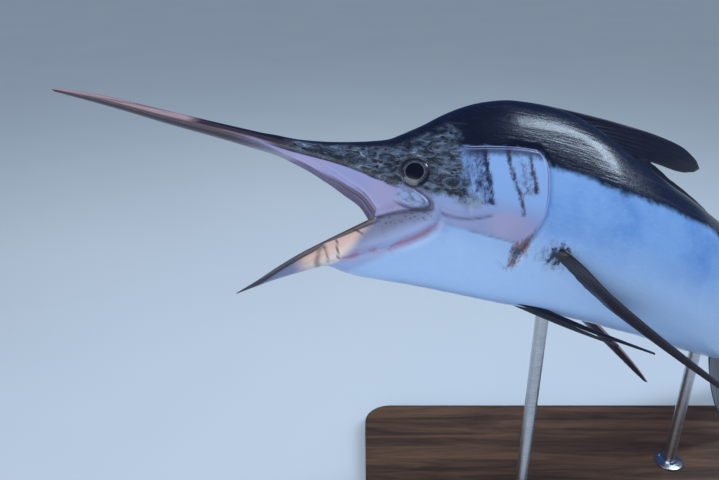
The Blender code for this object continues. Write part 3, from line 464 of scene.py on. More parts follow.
def stand_up(mesh, rigid_at=None):
    """Bend a mesh with the spine, or carry it whole with the spine at rigid_at, onto the stand."""
    places = np.empty(len(mesh.vertices) * 3)
    mesh.vertices.foreach_get("co", places)
    places = places.reshape(-1, 3)
    if rigid_at is None:
        bent = bend(places)
    else:
        x = rigid_at * FORK_LENGTH
        probe = bend(np.array([[x, 0, 0], [x + 0.001, 0, 0], [x, 1, 0], [x, 0, 1]], float))
        ahead = (probe[1] - probe[0]) / np.linalg.norm(probe[1] - probe[0])
        bent = (probe[0] + (places[:, :1] - x) * ahead + places[:, 1:2] * (probe[2] - probe[0])
                + places[:, 2:3] * (probe[3] - probe[0]))
    mesh.vertices.foreach_set("co", bent.ravel())
    mesh.transform(STANCE)
    mesh.update()


def add_piece(name, mesh, material, slot, *nodes):
    """A finished piece: it rides on the one body and takes the place of its solids."""
    obj = bpy.data.objects.new(name, mesh)
    bpy.context.scene.collection.objects.link(obj)
    mesh.shade_smooth()
    mesh.materials.clear()
    mesh.materials.append(material)
    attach(obj, "root")
    if nodes:
        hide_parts(*nodes)


class Value:
    """A socket in a material, so that shader maths reads as plain expressions."""

    def __init__(self, shader, socket):
        self.shader, self.socket = shader, socket

    def maths(self, operation, *others):
        return self.shader.node("ShaderNodeMath", {"operation": operation}, dict(enumerate((self, *others))))

    def __add__(self, other):
        return self.maths("ADD", other)

    __radd__ = __add__

    def __sub__(self, other):
        return self.maths("SUBTRACT", other)

    def __rsub__(self, other):
        return (self * -1.0) + other

    def __mul__(self, other):
        return self.maths("MULTIPLY", other)

    __rmul__ = __mul__

    def __truediv__(self, other):
        return self.maths("DIVIDE", other)

    def step(self, low, high):
        """0 below low and 1 above high, smooth between; high may be the lower one."""
        return self.shader.node("ShaderNodeMapRange", {"interpolation_type": "SMOOTHSTEP"},
                                {"Value": self, "From Min": low, "From Max": high})

    def clamp(self):
        return self.shader.node("ShaderNodeClamp", {}, {"Value": self})


class Shader:
    """One material on a Principled BSDF."""

    def __init__(self, name, **fixed):
        self.material = bpy.data.materials.new(name)
        self.material.use_nodes = True
        self.tree = self.material.node_tree
        self.principled = self.tree.nodes["Principled BSDF"]
        for socket, value in fixed.items():
            self.principled.inputs[socket.replace("_", " ")].default_value = value

    def node(self, kind, settings, inputs, output=0):
        """Add a node: its type, its settings, and the values or links of its sockets."""
        node = self.tree.nodes.new(kind)
        for key, value in settings.items():
            setattr(node, key, value)
        for key, value in inputs.items():
            self.link(node.inputs[key], value)
        return Value(self, node.outputs[output])

    def link(self, socket, value):
        if isinstance(value, Value):
            self.tree.links.new(value.socket, socket)
        elif socket.type == "RGBA" and len(value) == 3:
            socket.default_value = (*value, 1.0)
        else:
            socket.default_value = value

    def place(self, name=None):
        """The object's own coordinates, or a vector carried by its vertices."""
        if name is None:
            return self.node("ShaderNodeTexCoord", {}, {}, output="Object")
        return self.node("ShaderNodeAttribute", {"attribute_name": name}, {}, output="Vector")

    def axes(self, vector):
        first = self.node("ShaderNodeSeparateXYZ", {}, {0: vector})
        return [Value(self, socket) for socket in first.socket.node.outputs]

    def stretched(self, vector, scale):
        return self.node("ShaderNodeVectorMath", {"operation": "MULTIPLY"}, {0: vector, 1: scale})

    def noise(self, vector, scale, detail=3.0, rough=0.5, warp=0.0):
        return self.node("ShaderNodeTexNoise", {}, {"Vector": vector, "Scale": scale, "Detail": detail,
                                                   "Roughness": rough, "Distortion": warp})

    def cells(self, vector, scale):
        """Distance from the middle of scattered cells."""
        return self.node("ShaderNodeTexVoronoi", {}, {"Vector": vector, "Scale": scale}, output="Distance")

    def mix(self, base, top, amount):
        return self.node("ShaderNodeMix", {"data_type": "RGBA"}, {0: amount, 6: base, 7: top}, output=2)

    def bump(self, height, distance, strength=1.0, normal=None):
        inputs = {"Height": height, "Distance": distance, "Strength": strength}
        if normal is not None:
            inputs["Normal"] = normal
        return self.node("ShaderNodeBump", {}, inputs)

    def finish(self, **surface):
        for socket, value in surface.items():
            self.link(self.principled.inputs[socket.replace("_", " ")], value)
        return self.material


def ridge(distance, width):
    """1 on a line, falling off to nothing at about twice the width."""
    return np.exp(-(distance / width) ** 2)


def raised(away, *shapes):
    """Height of ridges and grooves at a distance from their line."""
    return sum(height * ridge(away - level, half) for height, level, half in shapes)


cover_edges = [line_at(line, by_length=True)
               for line in (COVER_FRONT, COVER_REAR, COVER_TOP, COVER_BOTTOM)]


def cover_place(u, v):
    """Side-view places on a gill cover: u runs back from its front edge, v up from its lowest."""
    front, rear, top, bottom = cover_edges
    u, v = np.asarray(u, float)[..., None], np.asarray(v, float)[..., None]
    return ((1 - u) * front(v[..., 0]) + u * rear(v[..., 0]) + (1 - v) * bottom(u[..., 0])
            + v * top(u[..., 0]) - (1 - u) * ((1 - v) * front(0.0) + v * front(1.0))
            - u * ((1 - v) * rear(0.0) + v * rear(1.0)))


front_line = curve([(z, x) for x, z in COVER_FRONT])
rear_line = curve([(z, x) for x, z in COVER_REAR])
top_line = curve(COVER_TOP)


def cover_edge(x, z):
    """How far a place is in from the free top and rear edges of a gill cover; negative outside."""
    return np.minimum(rear_line(z) - x, top_line(x) - z)


# Lines on the head in side view: the skull's with the bill unlifted, the jaw's with the jaw closed
GROOVE = curve(((0.020, 0.0100), (0.0356, 0.0091), (0.0665, 0.0080), (0.0966, 0.0066), (0.1144, 0.0044),
                (0.1321, 0.0012), (0.1500, -0.0015), (0.1623, -0.0012), (0.1719, -0.0051),
                (0.1774, -0.0095)))
MOUTH_LINE = curve(((0.1300, 0.0002), (0.1349, -0.0003), (0.1469, -0.0018), (0.1588, -0.0047),
                    (0.1700, -0.0085), (0.1858, -0.0139)))
FOLD = curve(((0.060, -0.0170), (0.0948, -0.0212), (0.1100, -0.0240), (0.1266, -0.0262),
              (0.1485, -0.0292), (0.1634, -0.0301), (0.1740, -0.0288), (0.1807, -0.0266),
              (0.1859, -0.0214)))
PREOPERCLE = curve(((0.187, -0.0135), (0.1950, -0.0152), (0.2041, -0.0155), (0.2120, -0.0142),
                    (0.2220, -0.0108), (0.2311, -0.0065)))
SUBOPERCLE = curve(((0.190, -0.0222), (0.2060, -0.0236), (0.2170, -0.0245), (0.2320, -0.0254),
                    (0.2445, -0.0262)))
LATERAL = curve(((0.262, 0.045), (0.290, 0.040), (0.330, 0.028), (0.370, 0.015), (0.420, 0.007),
                 (0.500, 0.003), (0.900, 0.0)))
LOBE_CENTRE, LOBE_SIZE, LOBE_TILT = (0.1600, -0.0082), (0.0182, 0.0074), math.radians(-9)
COLOUR_EDGE = curve(((0.0, 0.030), (0.17, 0.042), (0.190, 0.0430), (0.203, 0.0450), (0.2225, 0.0500),
                     (0.2400, 0.0528), (0.2530, 0.0545), (0.2600, 0.0500), (0.2680, 0.0425), (0.2900, 0.0432),
                     (0.3200, 0.0398), (0.3600, 0.0400), (0.4150, 0.0415), (0.50, 0.036), (0.60, 0.028),
                     (0.75, 0.016), (0.87, 0.004), (0.93, -0.008), (0.985, -0.014)))
CHEEK_FRONT = curve(((-0.035, 0.186), (-0.014, 0.1770), (0.004, 0.174), (0.012, 0.186), (0.020, 0.198),
                     (0.050, 0.190)))

# Marks drawn as lines: places, half width, depth of colour, lowest and highest z. Bars by height
BARS = ((((0.004, 0.2040), (0.021, 0.2005), (0.048, 0.1930)), 0.0060, 0.55, -0.004, 0.050),
        (((-0.002, 0.2215), (0.024, 0.2140), (0.048, 0.2080)), 0.0070, 0.60, 0.000, 0.050),
        (((-0.001, 0.2272), (0.013, 0.2232), (0.027, 0.2190), (0.046, 0.2138)), 0.0024, 0.60, 0.000, 0.050),
        (((-0.001, 0.2495), (0.008, 0.2468), (0.022, 0.2403), (0.036, 0.2348), (0.049, 0.2312)), 0.0024,
         0.72, -0.004, 0.052),
        (((0.017, 0.2515), (0.028, 0.2480), (0.036, 0.2445), (0.050, 0.2400)), 0.0060, 0.52, 0.014, 0.044),
        (((0.018, 0.2565), (0.026, 0.2554), (0.035, 0.2518), (0.050, 0.2481)), 0.0021, 0.66, 0.016, 0.050))
# The cross stripes of the lower jaw, by height with the jaw closed
STRIPES = ((((-0.0250, 0.0740), (-0.0146, 0.0752), (-0.0093, 0.0788), (-0.0030, 0.0832)), 0.0040, 0.62,
            -0.020, -0.003),
           (((-0.0250, 0.0825), (-0.0164, 0.0850), (-0.0111, 0.0864), (-0.0040, 0.0868)), 0.0018, 0.65,
            -0.020, -0.003),
           (((-0.0250, 0.0925), (-0.0173, 0.0945), (-0.0112, 0.0962), (-0.0034, 0.0981)), 0.0013, 0.90,
            -0.021, -0.003),
           (((-0.0100, 0.1215), (-0.0084, 0.1204), (-0.0039, 0.1174), (0.0, 0.1140)), 0.0014, 1.0,
            -0.011, 0.0))
# The ragged line of the gill slit, by height
SLIT_LINE = curve(((-0.0508, 0.2496), (-0.0441, 0.2508), (-0.0360, 0.2524), (-0.0283, 0.2536),
                   (-0.0209, 0.2585), (-0.0104, 0.2617)))


def drawn(x, z, lines):
    """How strongly a place is marked by lines that give x by z."""
    marks = [deep * ridge(x - curve(line)(z), wide) * between(z, low, high, 0.006)
             for line, wide, deep, low, high in lines]
    return np.minimum(sum(marks), 1.0)


def lobe_distance(sx, sz):
    """1 on the outline of the rounded rear end of the upper jaw bone, less inside it."""
    dx, dz = sx - LOBE_CENTRE[0], sz - LOBE_CENTRE[1]
    c, s = math.cos(LOBE_TILT), math.sin(LOBE_TILT)
    return np.hypot((dx * c + dz * s) / LOBE_SIZE[0], (dz * c - dx * s) / LOBE_SIZE[1])


def crease(line, x, z, low, high, width):
    """1 along a line from low to high in x, fading at both ends."""
    return between(x, low, high, 0.006) * ridge(z - line(x), width)


# Folds between the bones of the cheek: line, height, level over it, first and last x, and half width
CHEEK_FOLDS = ((PREOPERCLE, -0.0011, 0.0, 0.188, 0.228, 0.0013),
               (PREOPERCLE, 0.0006, 0.0030, 0.190, 0.226, 0.0015),
               (SUBOPERCLE, -0.0008, 0.0, 0.196, 0.250, 0.0013))


def cheek_relief(x, z):
    """The folds of the cheek, which run on over the gill cover, and the seam in front of the cover."""
    folds = sum(height * crease(line, x, z - level, low, high, half)
                for line, height, level, low, high, half in CHEEK_FOLDS)
    return folds + between(z, -0.012, 0.045, 0.012) * raised(x - front_line(z), COVER_SEAM)


def root_away(x, z):
    """How far a place is from the root of the pectoral fin, counted as longer along the body."""
    back_from, level, _ = PECTORAL["root"]
    return np.hypot(0.75 * (x - back_from - 0.004), z - level + 0.002)


def relief(x, z, inside, lower):
    """How far the skin stands out from the plain body: lips, folds, bony edges, sockets, keels."""
    sx, sz = swing(x, z, NAPE_HINGE, CRANIAL_LIFT)
    jx, jz = swing(x, z, JAW_HINGE, -GAPE)
    upper = 1 - lower
    out = upper * (sx < 0.139) * smooth((sx - 0.02) / 0.05) * raised(sz - bill_lip(sx), LIP, LIP_HOLLOW)
    out = out + lower * (jx < 0.139) * smooth((jx - 0.01) / 0.05) * raised(jaw_top(jx) - jz, LIP, LIP_HOLLOW)

    # Upper jaw: the smooth band under the scaled snout, and its rounded end
    lobe = lobe_distance(sx, sz)
    above = sz - GROOVE(sx)
    reach = upper * between(sx, 0.028, 0.156, 0.016)
    out = out + reach * (BAND_STEP * smooth(above / 0.004) + raised(above, BAND_GROOVE))
    on_lobe = smooth((0.200 - x) / 0.01) * smooth((sx - 0.144) / 0.016) * (sz < 0.012)
    out = out + on_lobe * (LOBE_SWELL * smooth((1.05 - lobe) / 0.30) + raised(lobe, LOBE_GROOVE, LOBE_FOLD))

    # The closed line of the mouth behind its corner
    reach = between(jx, 0.134, 0.184, 0.012) * (z < 0.01)
    out = out + reach * raised(jz - MOUTH_LINE(jx), MOUTH_SEAM)

    # Lower jaw: the bone's lower edge over the throat's loose skin
    reach = between(jx, 0.080, 0.186, 0.018) * smooth((0.03 - z) / 0.02)
    out = out + reach * raised(jz - FOLD(jx), JAW_BONE, JAW_CREASE, JAW_POUCH)

    # Eye socket with its rim, the brow over it, and the nostrils
    away = np.hypot(x - EYE_PLACE[0], z - EYE_PLACE[1])
    head = smooth((0.25 - x) / 0.02)
    out = out + head * (raised(away, EYE_RIM) - SOCKET_DEPTH * smooth((0.0120 - away) / 0.0035))
    out = out + head * raised(away, EYE_BROW) * smooth((z - EYE_PLACE[1]) / 0.015)
    for nx, nz in NOSTRILS:
        out = out + head * raised(np.hypot(x - nx, 0.8 * (z - nz)), NOSTRIL_RIM, NOSTRIL_HOLE)

    # Gill covers: the skin lies lower under each plate and in the slit behind it
    edge = cover_edge(x, z)
    start = smooth((x - front_line(z) - 0.009) / 0.012) * smooth((z + 0.053) / 0.008)
    out = out - PLATE_SINK * smooth((edge - 0.0004) / 0.0022) * start
    out = out + raised(edge, COVER_GROOVE) * smooth((x - 0.225) / 0.012) * smooth((z + 0.050) / 0.020)
    out = out + raised(edge, SLIT_HOLLOW) * between(z, -0.042, -0.014, 0.020) * (x > 0.245)
    out = out + cheek_relief(x, z) * (z < 0.06)
    out = out + PAD_RISE * ridge(root_away(x, z), PAD_SIZE)

    # Side line, the keels of the tail stalk, and slow swellings of the muscle
    out = out + between(x, 0.275, 0.90, 0.02) * raised(z - LATERAL(x), SIDE_LINE)
    rise = np.sin(np.pi * np.clip(0.04 + 0.92 * (x - KEEL_FROM) / (KEEL_TO - KEEL_FROM), 0, 1))
    out = out + rise ** 0.8 * raised(np.abs(z), KEEL)
    wave = np.sin(62 * x + 90 * z) * np.sin(41 * x - 70 * z + 1.3)
    out = out + MUSCLE_SWELL * wave * between(x, 0.27, 0.90, 0.05)
    return out * (1 - inside)


def paint(mesh, x, y, z, inside, lower, height, plate=False):
    """Carry every marking's measure on the vertices; plate is set on a gill cover's own piece."""
    sx, sz = swing(x, z, NAPE_HINGE, CRANIAL_LIFT)
    jx, jz = swing(x, z, JAW_HINGE, -GAPE)
    upper, outside = 1 - lower, 1 - inside
    lobe, edge = lobe_distance(sx, sz), cover_edge(x, z)
    fold, over_mouth = jz - FOLD(jx), jz - MOUTH_LINE(jx)
    lobe_zone = upper * (sx > 0.15) * (x < 0.2)
    carry(mesh, "fish", points(x, y, z))
    carry(mesh, "jaw", points(jx, y, jz))
    carry(mesh, "zone", points(inside, lower, height))

    # Height over the dark back's edge, the scaled snout, and the smooth band under it
    slant = x - 0.25 * (0.040 - z)
    ahead = sx < 0.150
    over = sz - np.where(ahead, GROOVE(sx), -0.0040)
    snout = smooth((sx - 0.030) / 0.030) * smooth((0.213 - slant) / 0.030) * smooth(
        over / np.where(ahead, 0.0016, 0.012) + np.where(ahead, 1.0, 0.2))
    snout = snout * np.where(x < 0.19, upper, 1.0) * smooth((lobe - 1.0) / 0.1) * smooth((0.083 - z) / 0.03)
    band = upper * between(sx, 0.010, 0.155, 0.02) * smooth(-over / 0.0016)
    band = np.maximum(band, lobe_zone * smooth((1.02 - lobe) / 0.08))
    carry(mesh, "paint", points(z - COLOUR_EDGE(x), snout, band))

    # The gill cover, its bars, and how far back a bar is
    cover = smooth((x - CHEEK_FRONT(z)) / 0.010) * smooth((z - SUBOPERCLE(x) + 0.004) / 0.008)
    cover = cover * (1.0 if plate else smooth(edge / 0.002 + 0.5))
    carry(mesh, "hues", points(cover, drawn(x, z, BARS), (slant - 0.222) / 0.03))

    # Lower jaw: the streak along its fold, the painted copper reflection of warm light on its front, and its
    # stripes
    streak = between(jx, 0.090, 0.183, 0.016) * ridge(fold - 0.0014, 0.0032) * smooth((0.01 - z) / 0.01)
    warm_reflection = smooth((0.1480 - (jx - 1.7 * jz)) / 0.030) * smooth((jx - 0.046) / 0.030)
    warm_reflection = warm_reflection * lower * outside * smooth((fold + 0.003) / 0.004)
    carry(mesh, "front", points(streak, warm_reflection, drawn(jx, jz, STRIPES) * lower))

    # The lips' dark edge, painted shade along the closed line of the mouth, and the freckles under it
    strip = lower * smooth((0.0050 * smooth((0.104 - jx) / 0.030) - jaw_top(jx) + jz) / 0.0012)
    lower_lip = between(jx, 0.02, 0.135, 0.02) * (height < 0.06)
    upper_lip = smooth((sx - 0.075) / 0.03) * (sx < 0.1365) * smooth((0.09 - height) / 0.05)
    lips = np.maximum(strip, outside * np.where(lower > 0.5, lower_lip, upper_lip))
    mouth_line = between(jx, 0.133, 0.184, 0.008) * ridge(over_mouth, 0.0012) * (z < 0.01)
    mouth_line = mouth_line * (0.35 + 0.65 * smooth((0.176 - jx) / 0.012))
    freckle = between(jx, 0.134, 0.180, 0.016) * ridge(over_mouth + 0.0050, 0.0050) * (z < 0.0)
    carry(mesh, "edges", points(lips, mouth_line, freckle))

    # Painted shade along the grooves between the bones, the soft corner of the mouth, and the gill slit
    lobe_line = np.maximum(ridge(lobe - 1.12, 0.13), 0.7 * ridge(lobe - 0.78, 0.09) * (sz > -0.0125))
    lobe_line = lobe_line * smooth((0.200 - x) / 0.01) * smooth((sx - 0.146) / 0.014) * (sz < 0.012)
    band_line = upper * between(sx, 0.030, 0.150, 0.02) * ridge(sz - GROOVE(sx) - 0.0002, 0.0010)
    groove = np.maximum.reduce([band_line, lobe_line,
                                0.75 * crease(PREOPERCLE, x, z, 0.188, 0.228, 0.0010),
                                0.45 * crease(SUBOPERCLE, x, z, 0.212, 0.250, 0.0008)])
    tissue = between(jx, 0.146, 0.172, 0.024) * between(over_mouth, 0.0008, 0.0080, 0.006)
    tissue = tissue * smooth((lobe - 1.0) / 0.15) * (x < 0.20)
    slit = ridge(x - SLIT_LINE(z), 0.0038 + 0.0034 * ridge(z + 0.032, 0.010))
    slit = slit * smooth((z + 0.056) / 0.012) * smooth((-0.006 - z) / 0.016)
    carry(mesh, "lines", points(groove, tissue, slit))

    # Distances in thousandths from a gill cover's free edge, and round the root of the pectoral fin
    free_edge = smooth((x - 0.192) / 0.014) * smooth((z + 0.004) / 0.03) * (edge > -0.003)
    carry(mesh, "plate", points(edge / 0.001, free_edge, root_away(x, z) / PAD_SIZE))

    # Distance in thousandths under a gill cover's top edge, the crown of the head, and the lobe's middle
    crown = np.maximum(upper * smooth((z - (0.043 + 0.30 * (x - 0.13))) / 0.014) * smooth((x - 0.11) / 0.03),
                       upper * outside * between(sx, 0.005, 0.20, 0.03) * smooth((height - 0.80) / 0.10))
    carry(mesh, "crest", points((top_line(x) - z) / 0.001, crown, lobe_zone * smooth((0.86 - lobe) / 0.1)))


def displaced(mesh, amount):
    """Move each vertex along its normal, by parts of the fork length."""
    count = len(mesh.vertices)
    places, normals = np.empty(count * 3), np.empty(count * 3)
    mesh.vertices.foreach_get("co", places)
    mesh.vertex_normals.foreach_get("vector", normals)
    places = places.reshape(-1, 3) + normals.reshape(-1, 3) * (amount * FORK_LENGTH)[:, None]
    mesh.vertices.foreach_set("co", places.ravel())
    mesh.update()


def skin():
    """The whole skin, straight, and the plain body it was raised from as a tree for ray casts."""
    loft = skin_loft()
    x, y, z = loft.all_places().T
    inside, lower, height = loft.all_marks().T
    jx, jz = swing(x, z, JAW_HINGE, -GAPE)
    mesh = make_mesh("marlin_skin", loft)
    plain = bmesh.new()
    plain.from_mesh(mesh)
    plain.verts.ensure_lookup_table()
    ring = (1 - inside) * (height > 0.10) * np.where(
        lower > 0.5, between(jx, 0.110, 0.168, 0.02), between(x, 0.122, 0.150, 0.008)) > 0.5
    seam = [plain.verts[i] for i in np.flatnonzero(ring)]
    for _ in range(SEAM_PASSES):
        bmesh.ops.smooth_vert(plain, verts=seam, factor=0.5,
                              use_axis_x=True, use_axis_y=True, use_axis_z=True)
    plain.to_mesh(mesh)
    tree = BVHTree.FromBMesh(plain)
    plain.free()
    displaced(mesh, relief(x, z, inside, lower))
    paint(mesh, x, y, z, inside, lower, height)
    return mesh, tree


skin_mesh, FLANK_TREE = skin()


def flank_hit(x, z):
    """The place and the outward direction of the left flank at x and z, in metres."""
    start = Vector((FORK_LENGTH * x, -1.0, FORK_LENGTH * z))
    return FLANK_TREE.ray_cast(start, Vector((0, 1, 0)))[:2]


def flank(x, z):
    """Half width of the body at x and z."""
    return -flank_hit(x, z)[0].y / FORK_LENGTH


def gill_cover(side):
    """A gill cover: its front runs on from the cheek, its top and rear stand free with a rolled rim."""
    u = 1 - (1 - np.linspace(0, 1, COVER_COLUMNS + 1)) ** 1.25
    v = np.linspace(0, 1, COVER_ROWS + 1)
    uu, vv = np.meshgrid(u, v)
    place = cover_place(uu, vv)
    x, z = place[..., 0], place[..., 1]
    half = np.array([flank(a, b) for a, b in zip(x.ravel(), z.ravel())]).reshape(x.shape)
    edge = cover_edge(x, z)
    free = smooth((uu - 0.25) / 0.45)
    lift = -0.0005 * (1 - smooth(uu / 0.20)) + 0.0001 + COVER_FLARE * free * smooth((vv - 0.10) / 0.35)
    lift = lift + free * (0.0005 * ridge(edge - 0.0032, 0.0016) - 0.0007 * ridge(edge, 0.0012))
    lift = lift - 0.0020 * (1 - smooth(vv / 0.16)) + cheek_relief(x, z)
    ripple = np.sin(430 * (x - 0.35 * (0.045 - z))) * 0.00010 * free * smooth((z + 0.02) / 0.03)
    outer_y, inner_y = half + lift + ripple, half + lift - 0.0018
    loft = Loft()
    outer = [loft.row(points(x[i], side * outer_y[i], z[i])) for i in range(len(v))]
    inner = [loft.row(points(x[i], side * inner_y[i], z[i])) for i in range(len(v))]
    sheet(loft, outer, inner)
    mesh = make_mesh("gill_cover", loft)
    px, py, pz = loft.all_places().T
    paint(mesh, px, py, pz, 0 * px, (pz < midline(px)).astype(float), 0.5 + 0 * px, plate=True)
    return mesh


def node_tree(name, piece, *sizes):
    """A geometry node tree with a piece, named sizes and a finish as inputs, and makers of its nodes."""
    tree = bpy.data.node_groups.new(name, "GeometryNodeTree")
    for socket, kind in ((piece, "Geometry"), *((size, "Float") for size in sizes), ("Finish", "Material")):
        tree.interface.new_socket(socket, in_out="INPUT", socket_type="NodeSocket" + kind)
    tree.interface.new_socket("Result", in_out="OUTPUT", socket_type="NodeSocketGeometry")

    def node(kind, settings, inputs):
        made = tree.nodes.new(kind)
        for key, value in settings.items():
            setattr(made, key, value)
        for key, value in inputs.items():
            if isinstance(value, bpy.types.NodeSocket):
                tree.links.new(value, made.inputs[key])
            else:
                made.inputs[key].default_value = value
        return made.outputs

    def maths(operation, *values):
        return node("ShaderNodeMath", {"operation": operation}, dict(enumerate(values)))[0]

    return tree, node, maths


def close_tree(node, piece, finish):
    """End a tree in real geometry with its finish."""
    real = node("GeometryNodeRealizeInstances", {}, {"Geometry": piece})
    done = node("GeometryNodeSetMaterial", {}, {"Geometry": real[0], "Material": finish})
    node("NodeGroupOutput", {}, {"Result": done[0]})


def ray_tree():
    """Raise ridges along a fin's rays, from the ray numbers on its vertices."""
    tree, node, maths = node_tree("fin_rays", "Fin", "Ridge height", "Ridge sharpness")
    given = node("NodeGroupInput", {}, {})
    mark = node("GeometryNodeInputNamedAttribute", {"data_type": "FLOAT_VECTOR"}, {"Name": "ray"})
    number, along, share = node("ShaderNodeSeparateXYZ", {}, {0: mark[0]})
    wave = maths("COSINE", maths("MULTIPLY", number, 2 * math.pi))
    crest = maths("POWER", maths("MULTIPLY_ADD", wave, 0.5, 0.5), given["Ridge sharpness"])
    fade = maths("POWER", maths("SUBTRACT", 1.0, along), RAY_FADE)
    height = maths("MULTIPLY", maths("MULTIPLY", crest, given["Ridge height"]),
                   maths("MULTIPLY", fade, share))
    normal = node("GeometryNodeInputNormal", {}, {})
    out = node("ShaderNodeVectorMath", {"operation": "SCALE"}, {0: normal[0], "Scale": height})
    moved = node("GeometryNodeSetPosition", {}, {"Geometry": given["Fin"], "Offset": out[0]})
    close_tree(node, moved[0], given["Finish"])
    return tree


def screw_tree():
    """Set a flat screw head with a six-sided socket on every vertex of a piece."""
    tree, node, maths = node_tree("screws", "Places", "Head radius", "Head height")
    given = node("NodeGroupInput", {}, {})
    head = node("GeometryNodeMeshCone", {}, {
        "Vertices": 24, "Radius Top": maths("MULTIPLY", given["Head radius"], SCREW_TOP),
        "Radius Bottom": given["Head radius"], "Depth": given["Head height"]})
    cutter = node("GeometryNodeMeshCylinder", {}, {
        "Vertices": 6, "Radius": maths("MULTIPLY", given["Head radius"], SOCKET_WIDTH),
        "Depth": maths("MULTIPLY", given["Head height"], SOCKET_CUTTER)})
    above = node("GeometryNodeTransform", {}, {
        "Geometry": cutter["Mesh"], "Translation": (0.0, 0.0, SOCKET_LEVEL)})
    hollow = node("GeometryNodeMeshBoolean", {"operation": "DIFFERENCE"},
                  {"Mesh 1": head["Mesh"], "Mesh 2": above[0]})
    seats = node("GeometryNodeMeshToPoints", {}, {"Mesh": given["Places"]})
    placed = node("GeometryNodeInstanceOnPoints", {}, {"Points": seats[0], "Instance": hollow["Mesh"]})
    close_tree(node, placed[0], given["Finish"])
    return tree


def grown(mesh, tree, material, **sizes):
    """A mesh after a geometry node tree, as a plain mesh."""
    holder = bpy.data.objects.new(mesh.name, mesh)
    bpy.context.scene.collection.objects.link(holder)
    grow = holder.modifiers.new(tree.name, "NODES")
    grow.node_group = tree
    sockets = {item.name: item.identifier for item in tree.interface.items_tree
               if item.in_out == "INPUT"}
    grow[sockets["Finish"]] = material
    for name, value in sizes.items():
        grow[sockets[name.replace("_", " ")]] = value
    evaluated = holder.evaluated_get(bpy.context.evaluated_depsgraph_get())
    finished = bpy.data.meshes.new_from_object(evaluated)
    bpy.data.objects.remove(holder)
    return finished


RAY_TREE, SCREW_TREE = ray_tree(), screw_tree()


def with_rays(mesh, material, height):
    """A fin's mesh with its rays raised by up to this height in metres."""
    return grown(mesh, RAY_TREE, material, Ridge_height=height, Ridge_sharpness=RAY_SHARPNESS)


def fan_fin(name, roots, tips, thick, rays, steps=30, columns_each=6, notch=0.02, rounding=0):
    """A thin fin: rays raised as ridges run from the root line to the tip line, skin between them."""
    columns = columns_each * (rays - 1) + 1
    t = np.linspace(0, 1, columns)[:, None]
    f = np.linspace(0, 1, steps + 1)[None, :]
    ray = t * (rays - 1)
    on_ray = 0.5 + 0.5 * np.cos(2 * np.pi * ray)
    root, tip = line_at(roots)(t[:, 0]), line_at(tips)(t[:, 0])
    for _ in range(rounding):
        tip[1:-1] = (tip[:-2] + 2 * tip[1:-1] + tip[2:]) / 4
    reach = f * (1 - notch * (1 - on_ray) * smooth((f - 0.5) / 0.5))
    x = root[:, :1] + (tip[:, :1] - root[:, :1]) * reach
    z = root[:, 1:] + (tip[:, 1:] - root[:, 1:]) * reach
    half = (RIM + 0.55 * (thick - RIM) * (1 - f) ** 0.8 + 0 * t) / FORK_LENGTH
    sway = 0.0006 * np.sin(9 * t + 5 * f) * smooth((f - 0.3) / 0.7)
    rim = np.ones((columns, steps + 1))
    rim[0], rim[-1], rim[:, -1] = 0.4, 0.4, 0.5
    loft = Loft()
    left, right = ([loft.row(points(x[c], (sway + side * half * rim)[c], z[c]),
                             points(ray[c] + 0 * f[0], f[0], rim[c])) for c in range(columns)]
                   for side in (-1, 1))
    sheet(loft, left, right)
    mesh = make_mesh(name, loft)
    carry(mesh, "ray", loft.all_marks())
    return mesh


def first_dorsal():
    """The long first dorsal: its front lobe folded back with a free tip, then the low strip."""
    rays = list(zip(LOBE_ROOTS, LOBE_TIPS))
    for x in np.linspace(STRIP_FROM, STRIP_TO, STRIP_RAYS):
        height = STRIP_HEIGHT - STRIP_FALL * (x - STRIP_FROM) / (STRIP_TO - STRIP_FROM)
        rays.append((x, (x + STRIP_LEAN, float(back(x + STRIP_LEAN)) + height)))
    roots = [(x, float(back(x)) - FIN_SINK) for x, tip in rays]
    return fan_fin("first_dorsal", roots, [tip for x, tip in rays], DORSAL_THICK, len(rays),
                   steps=44, columns_each=12, notch=0.008, rounding=50)


def mid_fin(name, shape, line, side, rays):
    """A fin on the rear of the body's mid line; side is 1 above and -1 below."""
    front, rear, heights, sweep = shape
    x = np.linspace(front, rear, len(heights))
    height = np.array(heights)
    roots = np.stack([x, line(x) - side * FIN_SINK], 1)
    tips = np.stack([x + sweep * height, line(x + 0.3 * height) + side * height], 1)
    return fan_fin(name, roots, tips, FIN_THICK, rays)


def tail_lobe(name, side, stations=80, steps=48, rays=17):
    """One lobe of the crescent tail, with rays that fan out along it."""
    turn = np.pi * np.arange(2 * steps) / steps
    along = 0.5 - 0.5 * np.cos(turn)
    rings = []
    for t in np.arange(stations + 1) / stations:
        lead = TAIL_ROOT + TAIL_SWEEP * t ** 1.35
        chord = TAIL_CHORD * (1 - t) ** 0.75 + TAIL_TIP_CHORD
        half = (TAIL_THICK * (1 - t) ** 1.1 + RIM) / FORK_LENGTH
        level = side * (TAIL_HEIGHT * t + 0.5 * GAP / FORK_LENGTH)
        rings.append((points(lead + chord * along, half * np.sin(turn) * (1.15 - 0.6 * along), level),
                      points(rays * along ** 1.3, t, np.abs(np.sin(turn)))))
    return tube(name, rings)


